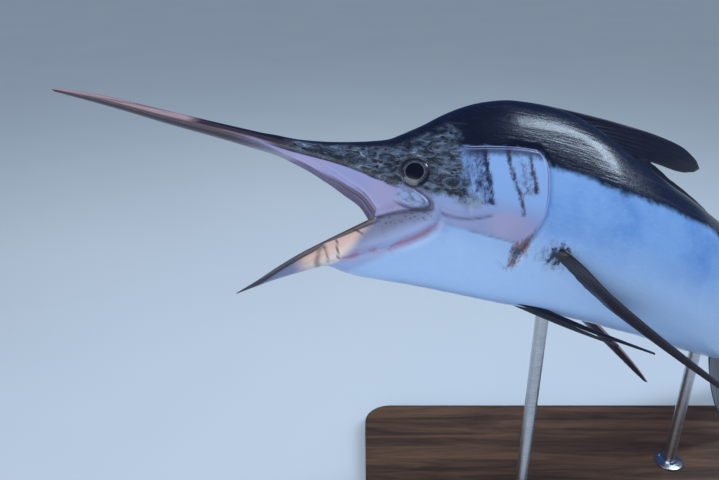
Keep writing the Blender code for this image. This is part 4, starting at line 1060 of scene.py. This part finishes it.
def paired_fin(name, side, root, span, flat, length, sweep, thick, knob, rays, widths, twist,
               stations=90, steps=40):
    """A long narrow fin off the left (side -1) or right (1) flank, twisting along its span."""
    span, flat = Vector(span).normalized(), Vector(flat)
    flat = (flat - span * flat.dot(span)).normalized()
    width_at, turn_at = curve(widths), curve(twist)
    start = np.array((root[0], -root[2], root[1]))
    turn = np.pi * np.arange(2 * steps) / steps
    rings = []
    for t in np.arange(stations + 1) / stations:
        across = Matrix.Rotation(math.radians(float(turn_at(t))), 3, span) @ flat
        half = (thick * (1 - t) ** 0.7 + knob * math.exp(-(t / 0.08) ** 2) + RIM) / FORK_LENGTH
        bow = sweep * math.sin(math.pi * t)
        wide = (0.5 * float(width_at(t)) * np.cos(turn) + bow)[:, None] * np.array(across)
        deep = (half * np.sin(turn))[:, None] * np.array(span.cross(across))
        places = start + np.array(span) * length * t + wide + deep
        places += np.array(ROOT_INWARD) * ROOT_SINK * (1 - t / ROOT_SHARE) ** 2 * (t < ROOT_SHARE)
        places[:, 1] *= -side
        rings.append((places, points(rays * (0.5 - 0.5 * np.cos(turn)), t, np.abs(np.sin(turn)))))
    return tube(name, rings)


def eye(side, segments=72, rings=48):
    """An eye: a wide flat ball, with iris measures from the middle of its outward face."""
    place, out = flank_hit(*EYE_PLACE)
    facing = np.array(out.to_track_quat("Z", "X").to_matrix())
    middle = np.array(place - out * EYE_SINK)
    turn = 2 * np.pi * np.arange(segments) / segments
    ball = []
    for down in np.pi * np.arange(rings + 1) / rings:
        wide, high = EYE_RADIUS * math.sin(down), EYE_DEPTH * math.cos(down)
        pole = down in (0.0, math.pi)
        local = np.array([[0.0, 0.0, high]]) if pole else points(
            wide * np.cos(turn), wide * np.sin(turn), high)
        world = (local @ facing.T + middle) / FORK_LENGTH
        world[:, 1] *= -side
        share = wide / EYE_SEEN if down < math.pi / 2 else 2.0
        ball.append((world, points(local[:, 0] / EYE_SEEN, share, local[:, 1] / EYE_SEEN)))
    return tube("eye", ball, mark="iris")


# Colours, in linear light
# BACK_SHEEN is painted sheen, streaked along the dark back; BACK_DARK also paints shade in grooves and round
# the pectoral root
BACK_DARK, BACK_SHEEN = (0.0050, 0.0065, 0.020), (0.055, 0.062, 0.120)
FLANK_PALE, FLANK_COOL, BELLY_WHITE = (0.22, 0.41, 0.76), (0.125, 0.285, 0.66), (0.42, 0.60, 0.90)
SNOUT_DARK, SNOUT_GREY, SNOUT_LIGHT = (0.010, 0.013, 0.024), (0.120, 0.160, 0.230), (0.42, 0.50, 0.64)
# FLECK also paints the ring of shade round the eye
FLECK, CHEEK_GREY = (0.003, 0.003, 0.006), (0.20, 0.24, 0.43)
# BILL_DARK also paints shade along the bill's lower edge
BILL_PINK, BILL_DARK, BILL_EDGE = (0.44, 0.285, 0.310), (0.040, 0.026, 0.042), (0.008, 0.007, 0.014)
BAND_MAUVE, BAND_PINK = (0.33, 0.34, 0.60), (0.40, 0.35, 0.56)
# The copper front of the lower jaw is a painted reflection of warm light, its brighter lower part a painted
# highlight
JAW_WARM_REFLECTION, JAW_BROWN, JAW_HIGHLIGHT = (0.80, 0.520, 0.430), (0.085, 0.045, 0.050), (0.92, 0.77, 0.72)
# JAW_EDGE also paints shade along the closed line of the mouth
JAW_MAUVE, JAW_SILVER, JAW_EDGE = (0.18, 0.195, 0.330), (0.32, 0.41, 0.68), (0.012, 0.008, 0.022)
STREAK_RED, FRECKLE = (0.36, 0.13, 0.24), (0.035, 0.030, 0.065)
COVER_PALE, COVER_LOW, COVER_GLOW = (0.27, 0.44, 0.78), (0.28, 0.33, 0.58), (0.45, 0.37, 0.55)
# COVER_BROWN also paints the brown of the shade round the pectoral root
COVER_BAR, COVER_BROWN, COVER_OLIVE = (0.050, 0.075, 0.190), (0.125, 0.110, 0.165), (0.22, 0.26, 0.24)
# The dark core tone of the cover's bars also paints the shade under its top edge
COVER_CORE_AND_SHADE, COVER_BLUE = (0.010, 0.012, 0.040), (0.100, 0.180, 0.380)
# The black of the gill slit paints shade in its depth; its red is the slit's own colour
RIM_PALE, SLIT_RED, SLIT_SHADE = (0.42, 0.42, 0.74), (0.190, 0.068, 0.072), (0.010, 0.006, 0.010)
TISSUE, LOBE_PALE = (0.34, 0.215, 0.370), (0.28, 0.40, 0.66)
MOUTH_RIM, MOUTH_DEEP, LIP_BROWN = (0.25, 0.225, 0.37), (0.085, 0.026, 0.032), (0.070, 0.035, 0.045)
# The sheen tones of the fins are painted sheen; the pectoral's root tone is painted shade where it meets the
# body, its pale edge tone a painted highlight
FIN_BLACK, FIN_SHEEN = (0.0050, 0.0060, 0.018), (0.030, 0.033, 0.070)
TAIL_BLACK, TAIL_SHEEN = (0.008, 0.009, 0.020), (0.060, 0.062, 0.095)
PECTORAL_BLACK, PECTORAL_SHEEN = (0.010, 0.011, 0.024), (0.120, 0.115, 0.165)
PECTORAL_ROOT_SHADE, PECTORAL_EDGE_HIGHLIGHT = (0.006, 0.006, 0.014), (0.42, 0.34, 0.40)
PUPIL, IRIS_DEEP, IRIS_SLATE = (0.003, 0.004, 0.008), (0.012, 0.018, 0.040), (0.085, 0.105, 0.155)
IRIS_GOLD, IRIS_EDGE = (0.22, 0.18, 0.11), (0.010, 0.012, 0.020)
WOOD_DARK, WOOD_LIGHT, WOOD_PORE = (0.052, 0.026, 0.014), (0.150, 0.078, 0.040), (0.025, 0.013, 0.008)
STEEL_DARK, STEEL_LIGHT = (0.46, 0.46, 0.47), (0.66, 0.66, 0.67)
FLOOR_DARK, FLOOR_LIGHT, FLOOR_SIZE = (0.58, 0.63, 0.70), (0.64, 0.69, 0.75), 400.0
SKY, SKY_STRENGTH = (0.72, 0.86, 1.0), 0.50
MIRRORED_SKY, MIRRORED_STRENGTH = (0.10, 0.20, 0.55), 0.30


def oval(x, z, centre, size=(1.0, 1.0)):
    """Squared distance from a centre, counted in the half sizes of an oval."""
    across, up = (x - centre[0]) / size[0], (z - centre[1]) / size[1]
    return across * across + up * up


def skin_material():
    """Wet skin: near black above with painted sheen, silver blue below, charcoal snout, mauve band, painted
    copper reflection on the lower jaw.
    """
    s = Shader("marlin_skin", Coat_Weight=0.35, Coat_Roughness=0.12, Coat_IOR=1.36)
    fish, jaw = s.place("fish"), s.place("jaw")
    x, _, z = s.axes(fish)
    jx, _, jz = s.axes(jaw)
    inside, lower, height = s.axes(s.place("zone"))
    above, snout, band = s.axes(s.place("paint"))
    cover, bars, rearward = s.axes(s.place("hues"))
    streak, warm_reflection, stripes = s.axes(s.place("front"))
    edge_dark, mouth_line, freckle = s.axes(s.place("edges"))
    groove, tissue, slit = s.axes(s.place("lines"))
    edge, free_edge, root = s.axes(s.place("plate"))
    top_edge, crown, lobe_pale = s.axes(s.place("crest"))
    broad = s.noise(fish, 20.0, 4.0, 0.6)
    fine = s.noise(fish, 150.0, 5.0, 0.65)
    grain = s.noise(s.stretched(fish, (1.0, 1.0, 2.6)), 260.0, 3.0, 0.6)
    ragged = s.noise(s.stretched(fish, (1.0, 1.0, 0.60)), 190.0, 6.0, 0.78, 0.7)
    upper, outside = 1.0 - lower, 1.0 - inside

    def line(distance, width):
        """1 on a line and 0 from width away on."""
        return distance.step(-width, 0.0) * distance.step(width, 0.0)

    # Flank and belly, then the dark back with its soft, fretted edge and painted sheen streaked along it
    flank_tone = s.mix(FLANK_PALE, FLANK_COOL, broad.step(0.38, 0.72))
    flank_tone = s.mix(flank_tone, BELLY_WHITE, z.step(0.010, -0.045) * (0.75 + 0.25 * fine))
    silver = s.cells(s.stretched(fish, (0.35, 1.0, 1.15)), 330.0)
    flank_tone = s.mix(flank_tone, BELLY_WHITE, silver.step(0.34, 0.12) * x.step(0.22, 0.28) * 0.16)
    flank_tone = s.mix(flank_tone, CHEEK_GREY, x.step(0.205, 0.182) * upper * z.step(-0.020, -0.008))
    colour_edge = above + (broad - 0.5) * 0.014 + (fine - 0.5) * 0.010
    long_grain = s.noise(s.stretched(fish, (0.09, 1.0, 1.7)), 62.0, 4.0, 0.66)
    # Painted sheen streaks along the dark back
    dark = s.mix(BACK_DARK, BACK_SHEEN, long_grain.step(0.54, 0.80) * 0.5)
    on_back = colour_edge.step(-0.004, 0.004)
    colour = s.mix(flank_tone, dark, on_back)
    # Painted shade round the root of the pectoral fin, in brown and black
    painted_root_shade = (root + (ragged - 0.5) * 4.0 + (broad - 0.5) * 2.0)
    colour = s.mix(colour, COVER_BROWN, painted_root_shade.step(1.50, 0.50) * 0.45)
    colour = s.mix(colour, BACK_DARK, painted_root_shade.step(0.72, 0.42) * 0.9)

    # Lower jaw: silver mauve, with a painted copper reflection of warm light on its front and a painted
    # highlight low on it, its stripes, and red streaks along the fold
    rear = s.mix(JAW_MAUVE, JAW_SILVER, (jz.step(-0.009, -0.024) + (broad - 0.5) * 0.5).clamp())
    own = lower * outside * jx.step(0.196, 0.180) * jz.step(-0.036, -0.029)
    colour = s.mix(colour, rear, own)
    reflection_and_stripes = s.mix(JAW_WARM_REFLECTION, JAW_HIGHLIGHT, (jz.step(-0.009, -0.018) + (fine - 0.5) * 0.8).clamp())
    reflection_and_stripes = s.mix(reflection_and_stripes, JAW_BROWN, (stripes + (fine - 0.5) * 0.5 * stripes).step(0.10, 0.95))
    colour = s.mix(colour, reflection_and_stripes, (warm_reflection + (fine - 0.5) * 0.5 * warm_reflection).step(0.05, 0.95))
    streaked = s.noise(s.stretched(jaw, (1.0, 1.0, 2.0)), 42.0, 3.0, 0.6)
    colour = s.mix(colour, STREAK_RED, streak * streaked.step(0.42, 0.60) * 0.75)
    spots = s.cells(s.stretched(fish, (0.7, 1.0, 1.3)), 420.0).step(0.46, 0.22)
    colour = s.mix(colour, FRECKLE, (freckle * (spots * 0.7 + 0.40 * fine)).clamp())

    # Gill cover: pale, with ragged dark bars under its top edge, painted shade along that edge, and a pink
    # glow below
    plate = s.mix(COVER_PALE, COVER_LOW, (z + (broad - 0.5) * 0.012).step(0.014, -0.012))
    away = oval(x, z, (0.242, -0.015), (0.016, 0.011))
    plate = s.mix(plate, COVER_GLOW, (away + (broad - 0.5) * 2.0).step(2.2, 0.0) * 0.50)
    away = oval(x, z, (0.208, 0.0), (0.013, 0.007))
    plate = s.mix(plate, COVER_OLIVE, (away + (ragged - 0.5) * 3.0).step(1.3, 0.0) * 0.6)
    bar_tone = s.mix(COVER_BAR, COVER_BROWN, (rearward + (ragged - 0.5) * 2.0).clamp())
    plate = s.mix(plate, COVER_BLUE, x.step(0.217, 0.200) * z.step(-0.004, 0.012) * (0.30 + 0.9 * ragged))
    mottle = ragged * 0.6 + s.noise(s.stretched(fish, (1.0, 1.0, 0.5)), 430.0, 4.0, 0.72) * 0.4
    marks = (bars + (mottle - 0.5) * 3.4 * bars.step(0.02, 0.30)).step(0.12, 0.90)
    plate = s.mix(plate, bar_tone, marks)
    plate = s.mix(plate, COVER_CORE_AND_SHADE, (bars + (mottle - 0.5) * 3.0).step(0.62, 1.00) * 0.8)
    # Painted shade under the cover's top edge
    shade = (top_edge + (mottle - 0.5) * 16.0).step(11.5, 4.5) * free_edge
    plate = s.mix(plate, COVER_CORE_AND_SHADE, shade * 0.80)
    colour = s.mix(colour, plate, (cover + (ragged - 0.5) * 0.5 * cover).step(0.10, 0.90))
    colour = s.mix(colour, BACK_DARK, line(edge - 1.35, 0.75) * free_edge * 0.8)
    pale_lines = line(edge - 0.35, 0.80) * 0.75 + line(edge - 2.5, 0.75) * 0.55
    colour = s.mix(colour, RIM_PALE, pale_lines * free_edge * (0.5 + 0.7 * fine))

    # Snout and cheek: charcoal, streaked with grey like bark and flecked with black
    bark = s.noise(s.stretched(fish, (0.50, 1.0, 1.15)), 120.0, 7.0, 0.78, 1.1)
    scaled = s.mix(SNOUT_DARK, SNOUT_GREY, bark.step(0.42, 0.62))
    scaled = s.mix(scaled, SNOUT_LIGHT, bark.step(0.585, 0.68) * broad.step(0.35, 0.60))
    flecks = s.cells(s.stretched(fish, (0.7, 1.0, 1.5)), 170.0).step(0.34, 0.20) * bark.step(0.40, 0.55)
    scaled = s.mix(scaled, FLECK, flecks)
    fretted = snout + ((ragged - 0.5) * 1.7 + (broad - 0.5) * 0.68) * snout.step(0.0, 0.25)
    colour = s.mix(colour, scaled, fretted.step(0.25, 0.80))
    colour = s.mix(colour, dark, (crown + (broad - 0.5) * 0.5 * crown).clamp())
    smooth_band = s.mix(BAND_MAUVE, BAND_PINK, broad.step(0.40, 0.70) * 0.8)
    colour = s.mix(colour, smooth_band, band)
    colour = s.mix(colour, s.mix(LOBE_PALE, SNOUT_GREY, bark.step(0.48, 0.60)), lobe_pale * 0.8)

    # A black ring of painted shade round the eye, in its socket; then the bill, salmon brown in front, darker
    # behind, black on top, with painted shade along its lower edge
    colour = s.mix(colour, FLECK, oval(x, z, EYE_PLACE).step(0.0145 ** 2, 0.0115 ** 2) * outside)
    horn = s.noise(s.stretched(fish, (0.12, 1.0, 2.4)), 150.0, 4.0, 0.7)
    beak = s.mix(BILL_PINK, BILL_DARK, horn.step(0.46, 0.72) * 0.55)
    beak = s.mix(beak, BILL_DARK, (x + (fine - 0.5) * 0.012).step(-0.048, -0.030)
                 * (height + (horn - 0.5) * 0.2).step(0.06, 0.28))
    # Painted shade along the bill's lower edge
    beak = s.mix(beak, BILL_DARK, height.step(0.22, 0.02) * 0.75)
    black_top = x.step(-0.045, -0.010)
    beak = s.mix(beak, BILL_EDGE, (height * upper + black_top * 0.26 + (fine - 0.5) * 0.15).step(0.84, 0.98))
    beak = s.mix(beak, smooth_band, x.step(-0.005, 0.035) * height.step(0.36, 0.16) * 0.85)
    colour = s.mix(colour, beak, x.step(0.062, 0.040) * upper * outside)

    # Seams with painted shade along them, lips, the gill slit with painted shade at its core, and the soft
    # corner of the mouth
    colour = s.mix(colour, TISSUE, tissue * (0.35 + 0.45 * ragged.step(0.4, 0.6)))
    # Painted shade in the grooves and along the closed line of the mouth
    colour = s.mix(colour, BACK_DARK, groove * (0.55 + 0.35 * fine))
    colour = s.mix(colour, JAW_EDGE, (mouth_line * (0.6 + 0.4 * fine)).clamp())
    colour = s.mix(colour, s.mix(LIP_BROWN, JAW_EDGE, lower), edge_dark * 0.88 * x.step(0.002, 0.02))
    # The slit's black core is painted shade
    slit_red_and_shade = s.mix(SLIT_RED, SLIT_SHADE,
                 (slit * line(z + 0.036, 0.014) + (ragged - 0.5) * 2.0).step(0.60, 0.90))
    colour = s.mix(colour, slit_red_and_shade, (slit + (mottle - 0.5) * 4.0 * slit.step(0.0, 0.3)).step(0.20, 1.05) * 0.88)
    mouth = s.mix(MOUTH_RIM, MOUTH_DEEP, x.step(0.138, 0.178))
    mouth = s.mix(mouth, MOUTH_DEEP, (fine + (broad - 0.5) * 0.6).step(0.50, 0.75) * 0.45)
    mouth = s.mix(BILL_DARK, mouth, x.step(-0.01, 0.06))
    colour = s.mix(colour, mouth, inside)

    rough = 0.30 + 0.18 * fine - 0.12 * on_back + 0.08 * snout
    relief = s.bump(silver * x.step(0.20, 0.26), 0.0007, 0.20)
    relief = s.bump(grain + fine * 0.8, 0.0010, 0.22, relief)
    relief = s.bump(bark * snout, 0.0016, 0.45, relief)
    relief = s.bump(s.cells(fish, 520.0) * inside, 0.0008, 0.5, relief)
    relief = s.bump(long_grain * on_back * x.step(0.18, 0.24), 0.0020, 0.55, relief)
    return s.finish(Base_Color=colour, Roughness=rough.clamp(), Normal=relief)


def fin_material(name, deep, light, ray_scale, root_shade=None, spine=None):
    """Wet dark fin skin with painted sheen streaked along its rays; the root tone paints shade on its root,
    the spine tone a highlight along its pale leading edge.
    """
    s = Shader(name, Coat_Weight=0.35, Coat_Roughness=0.16, Coat_IOR=1.36)
    along = s.place("ray")
    across, outward, _ = s.axes(along)
    streaks = s.noise(s.stretched(along, (ray_scale, 2.5, 1.0)), 4.0, 5.0, 0.65)
    blotch = s.noise(along, 3.0, 3.0, 0.6)
    # Painted sheen streaked along the rays
    colour = s.mix(deep, light, (streaks.step(0.50, 0.80) * 0.6 + blotch.step(0.5, 0.8) * 0.3).clamp())
    # Painted shade on the root, where it meets the body
    if root_shade:
        colour = s.mix(colour, root_shade, outward.step(0.14, 0.05))
    # Painted highlight along the leading edge
    if spine:
        colour = s.mix(colour, spine, across.step(1.9, 0.7) * outward.step(0.10, 0.22) * (0.4 + streaks))
    relief = s.bump(streaks, 0.0006, 0.3)
    return s.finish(Base_Color=colour, Roughness=0.30 + 0.22 * streaks, Normal=relief)


def eye_material():
    """A large dark pupil in a narrow slate blue iris, under clear wet glaze."""
    s = Shader("marlin_eye", Coat_Weight=1.0, Coat_Roughness=0.02, Coat_IOR=1.40)
    across = s.place("iris")
    _, radius, _ = s.axes(across)
    fibres = s.noise(s.stretched(across, (1.0, 0.2, 1.0)), 9.0, 4.0, 0.6)
    iris = s.mix(IRIS_DEEP, IRIS_SLATE, fibres.step(0.35, 0.7))
    iris = s.mix(iris, IRIS_GOLD, radius.step(0.76, 0.70) * radius.step(0.66, 0.70) * 0.55)
    iris = s.mix(iris, IRIS_EDGE, radius.step(0.84, 0.96))
    colour = s.mix(PUPIL, iris, (radius + (fibres - 0.5) * 0.03).step(0.64, 0.68))
    return s.finish(Base_Color=colour, Roughness=0.18 + 0.1 * fibres)


def wood_material():
    """Dark stained wood with long grain."""
    s = Shader("stand_wood", Coat_Weight=0.35, Coat_Roughness=0.22)
    place = s.place()
    rings = s.noise(s.stretched(place, (1.2, 14.0, 14.0)), 2.2, 6.0, 0.62, 0.8)
    pores = s.noise(s.stretched(place, (8.0, 220.0, 220.0)), 3.0, 3.0, 0.6)
    colour = s.mix(WOOD_DARK, WOOD_LIGHT, rings.step(0.35, 0.68))
    colour = s.mix(colour, WOOD_PORE, pores.step(0.58, 0.72) * 0.7)
    return s.finish(Base_Color=colour, Roughness=0.34 + 0.18 * pores, Normal=s.bump(pores, 0.0006, 0.4))


def steel_material():
    """Satin steel, brushed round the rod."""
    s = Shader("stand_steel", Metallic=1.0)
    place = s.place()
    brushed = s.noise(s.stretched(place, (60.0, 60.0, 900.0)), 1.0, 3.0, 0.6)
    colour = s.mix(STEEL_DARK, STEEL_LIGHT, brushed.step(0.3, 0.7))
    return s.finish(Base_Color=colour, Roughness=0.24 + 0.16 * brushed, Normal=s.bump(brushed, 0.0003, 0.3))


# The fish
stand_up(skin_mesh)
skin_finish = skin_material()
add_piece("marlin_skin", skin_mesh, skin_finish, "body_skin",
          "bill", "head", "lower_jaw", "trunk", "tail", "tail_stalk")
eye_finish = eye_material()
dark_fin = fin_material("dark_fin", FIN_BLACK, FIN_SHEEN, 3.0)
tail_finish = fin_material("tail_fin", TAIL_BLACK, TAIL_SHEEN, 2.0)
pectoral_finish = fin_material("pectoral_fin", PECTORAL_BLACK, PECTORAL_SHEEN, 2.0,
                               PECTORAL_ROOT_SHADE, PECTORAL_EDGE_HIGHLIGHT)
for side, name in ((-1, "left"), (1, "right")):
    plate = gill_cover(side)
    stand_up(plate)
    add_piece(f"fine_gill_cover_{name}", plate, skin_finish, "gill_cover", f"gill_cover_{name}")
    ball = eye(side)
    stand_up(ball)
    add_piece(f"fine_eye_{name}", ball, eye_finish, "eye", f"eye_{name}")
    pectoral = with_rays(paired_fin("pectoral", side, **PECTORAL), pectoral_finish, PECTORAL_RAYS)
    stand_up(pectoral, PECTORAL["root"][0])
    add_piece(f"fine_pectoral_fin_{name}", pectoral, pectoral_finish, "fin", f"pectoral_fin_{name}")
    pelvic = with_rays(paired_fin("pelvic", side, **PELVIC), dark_fin, PELVIC_RAYS)
    stand_up(pelvic)
    add_piece(f"fine_pelvic_fin_{name}", pelvic, dark_fin, "fin", f"pelvic_fin_{name}")
fins = ((first_dorsal(), dark_fin, "dorsal_fin", DORSAL_THICK,
         ("dorsal_fin", "dorsal_fin_middle", "dorsal_fin_rear")),
        (mid_fin("second_dorsal", SECOND_DORSAL, back, 1, 7), dark_fin, "dorsal_fin", FIN_THICK,
         ("second_dorsal_fin",)),
        (mid_fin("anal", ANAL, belly, -1, 15), dark_fin, "fin", FIN_THICK, ("anal_fin",)),
        (mid_fin("second_anal", SECOND_ANAL, belly, -1, 7), dark_fin, "fin", FIN_THICK,
         ("second_anal_fin",)),
        (tail_lobe("tail_upper", 1), tail_finish, "tail_fin", TAIL_THICK, ("tail_fin_upper",)),
        (tail_lobe("tail_lower", -1), tail_finish, "tail_fin", TAIL_THICK, ("tail_fin_lower",)))
for mesh, material, slot, thick, replaced in fins:
    fin = with_rays(mesh, material, (DORSAL_RAYS if slot == "dorsal_fin" else MID_FIN_RAYS) * thick)
    stand_up(fin)
    add_piece("fine_" + replaced[0], fin, material, slot, *replaced)

# The stand keeps its solids, and gets a screwed foot at each rod
nodes = frame["nodes"]
steel = steel_material()
for name, material in (("stand_base", wood_material()), ("stand_rod_front", steel),
                       ("stand_rod_rear", steel)):
    nodes[name].data.materials.clear()
    nodes[name].data.materials.append(material)


def rod_foot(name, rod, segments=72):
    """A turned collar on the board round a rod, with four screws."""
    low = np.array([v.co for v in nodes[rod].data.vertices])
    board = low[:, 2].min() - GAP
    cx, cy = low[low[:, 2] < board + 0.001][:, :2].mean(axis=0)
    ring = lambda radius, turn, level: points(cx + radius * np.cos(turn), cy + radius * np.sin(turn), level)
    turn = 2 * np.pi * np.arange(segments) / segments
    loft = Loft()
    rows = [loft.row(ring(radius, turn, board + level)) for radius, level in FOOT_PROFILE]
    for a, b in zip(rows, rows[1:] + rows[:1]):
        loft.strip(a, b, closed=True)
    collar = make_mesh(name, loft, scale=1.0)
    seats = bpy.data.meshes.new(name + "_seats")
    quarters = np.pi / 4 + np.pi / 2 * np.arange(4)
    level = board + SCREW_LEVEL + 0.5 * SCREW_HEIGHT
    seats.from_pydata(ring(SCREW_RING, quarters, level).tolist(), [], [])
    screws = grown(seats, SCREW_TREE, steel, Head_radius=SCREW_RADIUS, Head_height=SCREW_HEIGHT)
    both = bmesh.new()
    both.from_mesh(collar)
    both.from_mesh(screws)
    both.to_mesh(collar)
    both.free()
    return collar


for side in ("front", "rear"):
    foot = rod_foot(f"stand_foot_{side}", f"stand_rod_{side}")
    add_piece(f"stand_foot_{side}", foot, steel, "stand_steel")


def camera():
    """The photo's view: its place and aim come from the fish's head."""
    data = bpy.data.cameras.new("camera")
    obj = bpy.data.objects.new("camera", data)
    bpy.context.scene.collection.objects.link(obj)
    data.sensor_width = SENSOR
    data.lens = FOCAL_PIXELS / IMAGE_WIDTH * SENSOR
    right = Vector((1, 0, 0))
    up = Vector((0, math.sin(CAMERA_ELEVATION), math.cos(CAMERA_ELEVATION)))
    away = Vector((0, math.cos(CAMERA_ELEVATION), -math.sin(CAMERA_ELEVATION)))
    aim = STANCE @ Vector((AIM_STATION * FORK_LENGTH, 0, 0))
    place = aim - right * AIM_OFFSET[0] - up * AIM_OFFSET[1] - away * AIM_OFFSET[2]
    obj.matrix_world = Matrix.Translation(place) @ Matrix((right, up, -away)).transposed().to_4x4()
    bpy.context.scene.camera = obj


def softbox(name, place, target, size, power, colour, mirrored=True):
    """A soft light; one that isn't mirrored lights the fish but doesn't show as a highlight."""
    data = bpy.data.lights.new(name, "AREA")
    data.shape, data.size, data.size_y = "RECTANGLE", size[0], size[1]
    data.energy, data.color = power, colour
    obj = bpy.data.objects.new(name, data)
    bpy.context.scene.collection.objects.link(obj)
    obj.location = place
    obj.rotation_euler = (Vector(target) - Vector(place)).to_track_quat("-Z", "Y").to_euler()
    obj.visible_glossy = mirrored


def studio():
    """A pale floor, a soft sky that wet skin mirrors as deep blue, and three soft lights."""
    bpy.ops.mesh.primitive_plane_add(size=FLOOR_SIZE)
    floor = bpy.context.object
    floor.name = "floor"
    s = Shader("floor", Roughness=0.75)
    tone = s.noise(s.place(), 1.5, 3.0, 0.5)
    floor.data.materials.append(s.finish(Base_Color=s.mix(FLOOR_DARK, FLOOR_LIGHT, tone)))
    world = bpy.data.worlds.new("studio")
    bpy.context.scene.world = world
    world.use_nodes = True
    tree = world.node_tree
    sky = tree.nodes["Background"]
    mirrored = tree.nodes.new("ShaderNodeBackground")
    choose = tree.nodes.new("ShaderNodeMixShader")
    ray = tree.nodes.new("ShaderNodeLightPath")
    for shader, tint, strength in ((sky, SKY, SKY_STRENGTH), (mirrored, MIRRORED_SKY, MIRRORED_STRENGTH)):
        shader.inputs["Color"].default_value = (*tint, 1.0)
        shader.inputs["Strength"].default_value = strength
    tree.links.new(ray.outputs["Is Glossy Ray"], choose.inputs[0])
    tree.links.new(sky.outputs[0], choose.inputs[1])
    tree.links.new(mirrored.outputs[0], choose.inputs[2])
    tree.links.new(choose.outputs[0], tree.nodes["World Output"].inputs["Surface"])
    softbox("key", (1.25, 0.15, 2.40), (-0.15, -0.10, 0.75), (0.34, 1.7), 32.0, (0.66, 0.82, 1.0))
    softbox("top", (-0.75, 1.35, 2.75), (-0.45, -0.1, 0.75), (1.6, 0.7), 20.0, (0.92, 0.96, 1.0), False)
    softbox("front", (-1.5, -2.2, 1.5), (-0.3, -0.1, 0.7), (2.4, 1.9), 30.0, (0.90, 0.95, 1.0))


camera()
studio()
bpy.context.scene.view_settings.view_transform = "Standard"
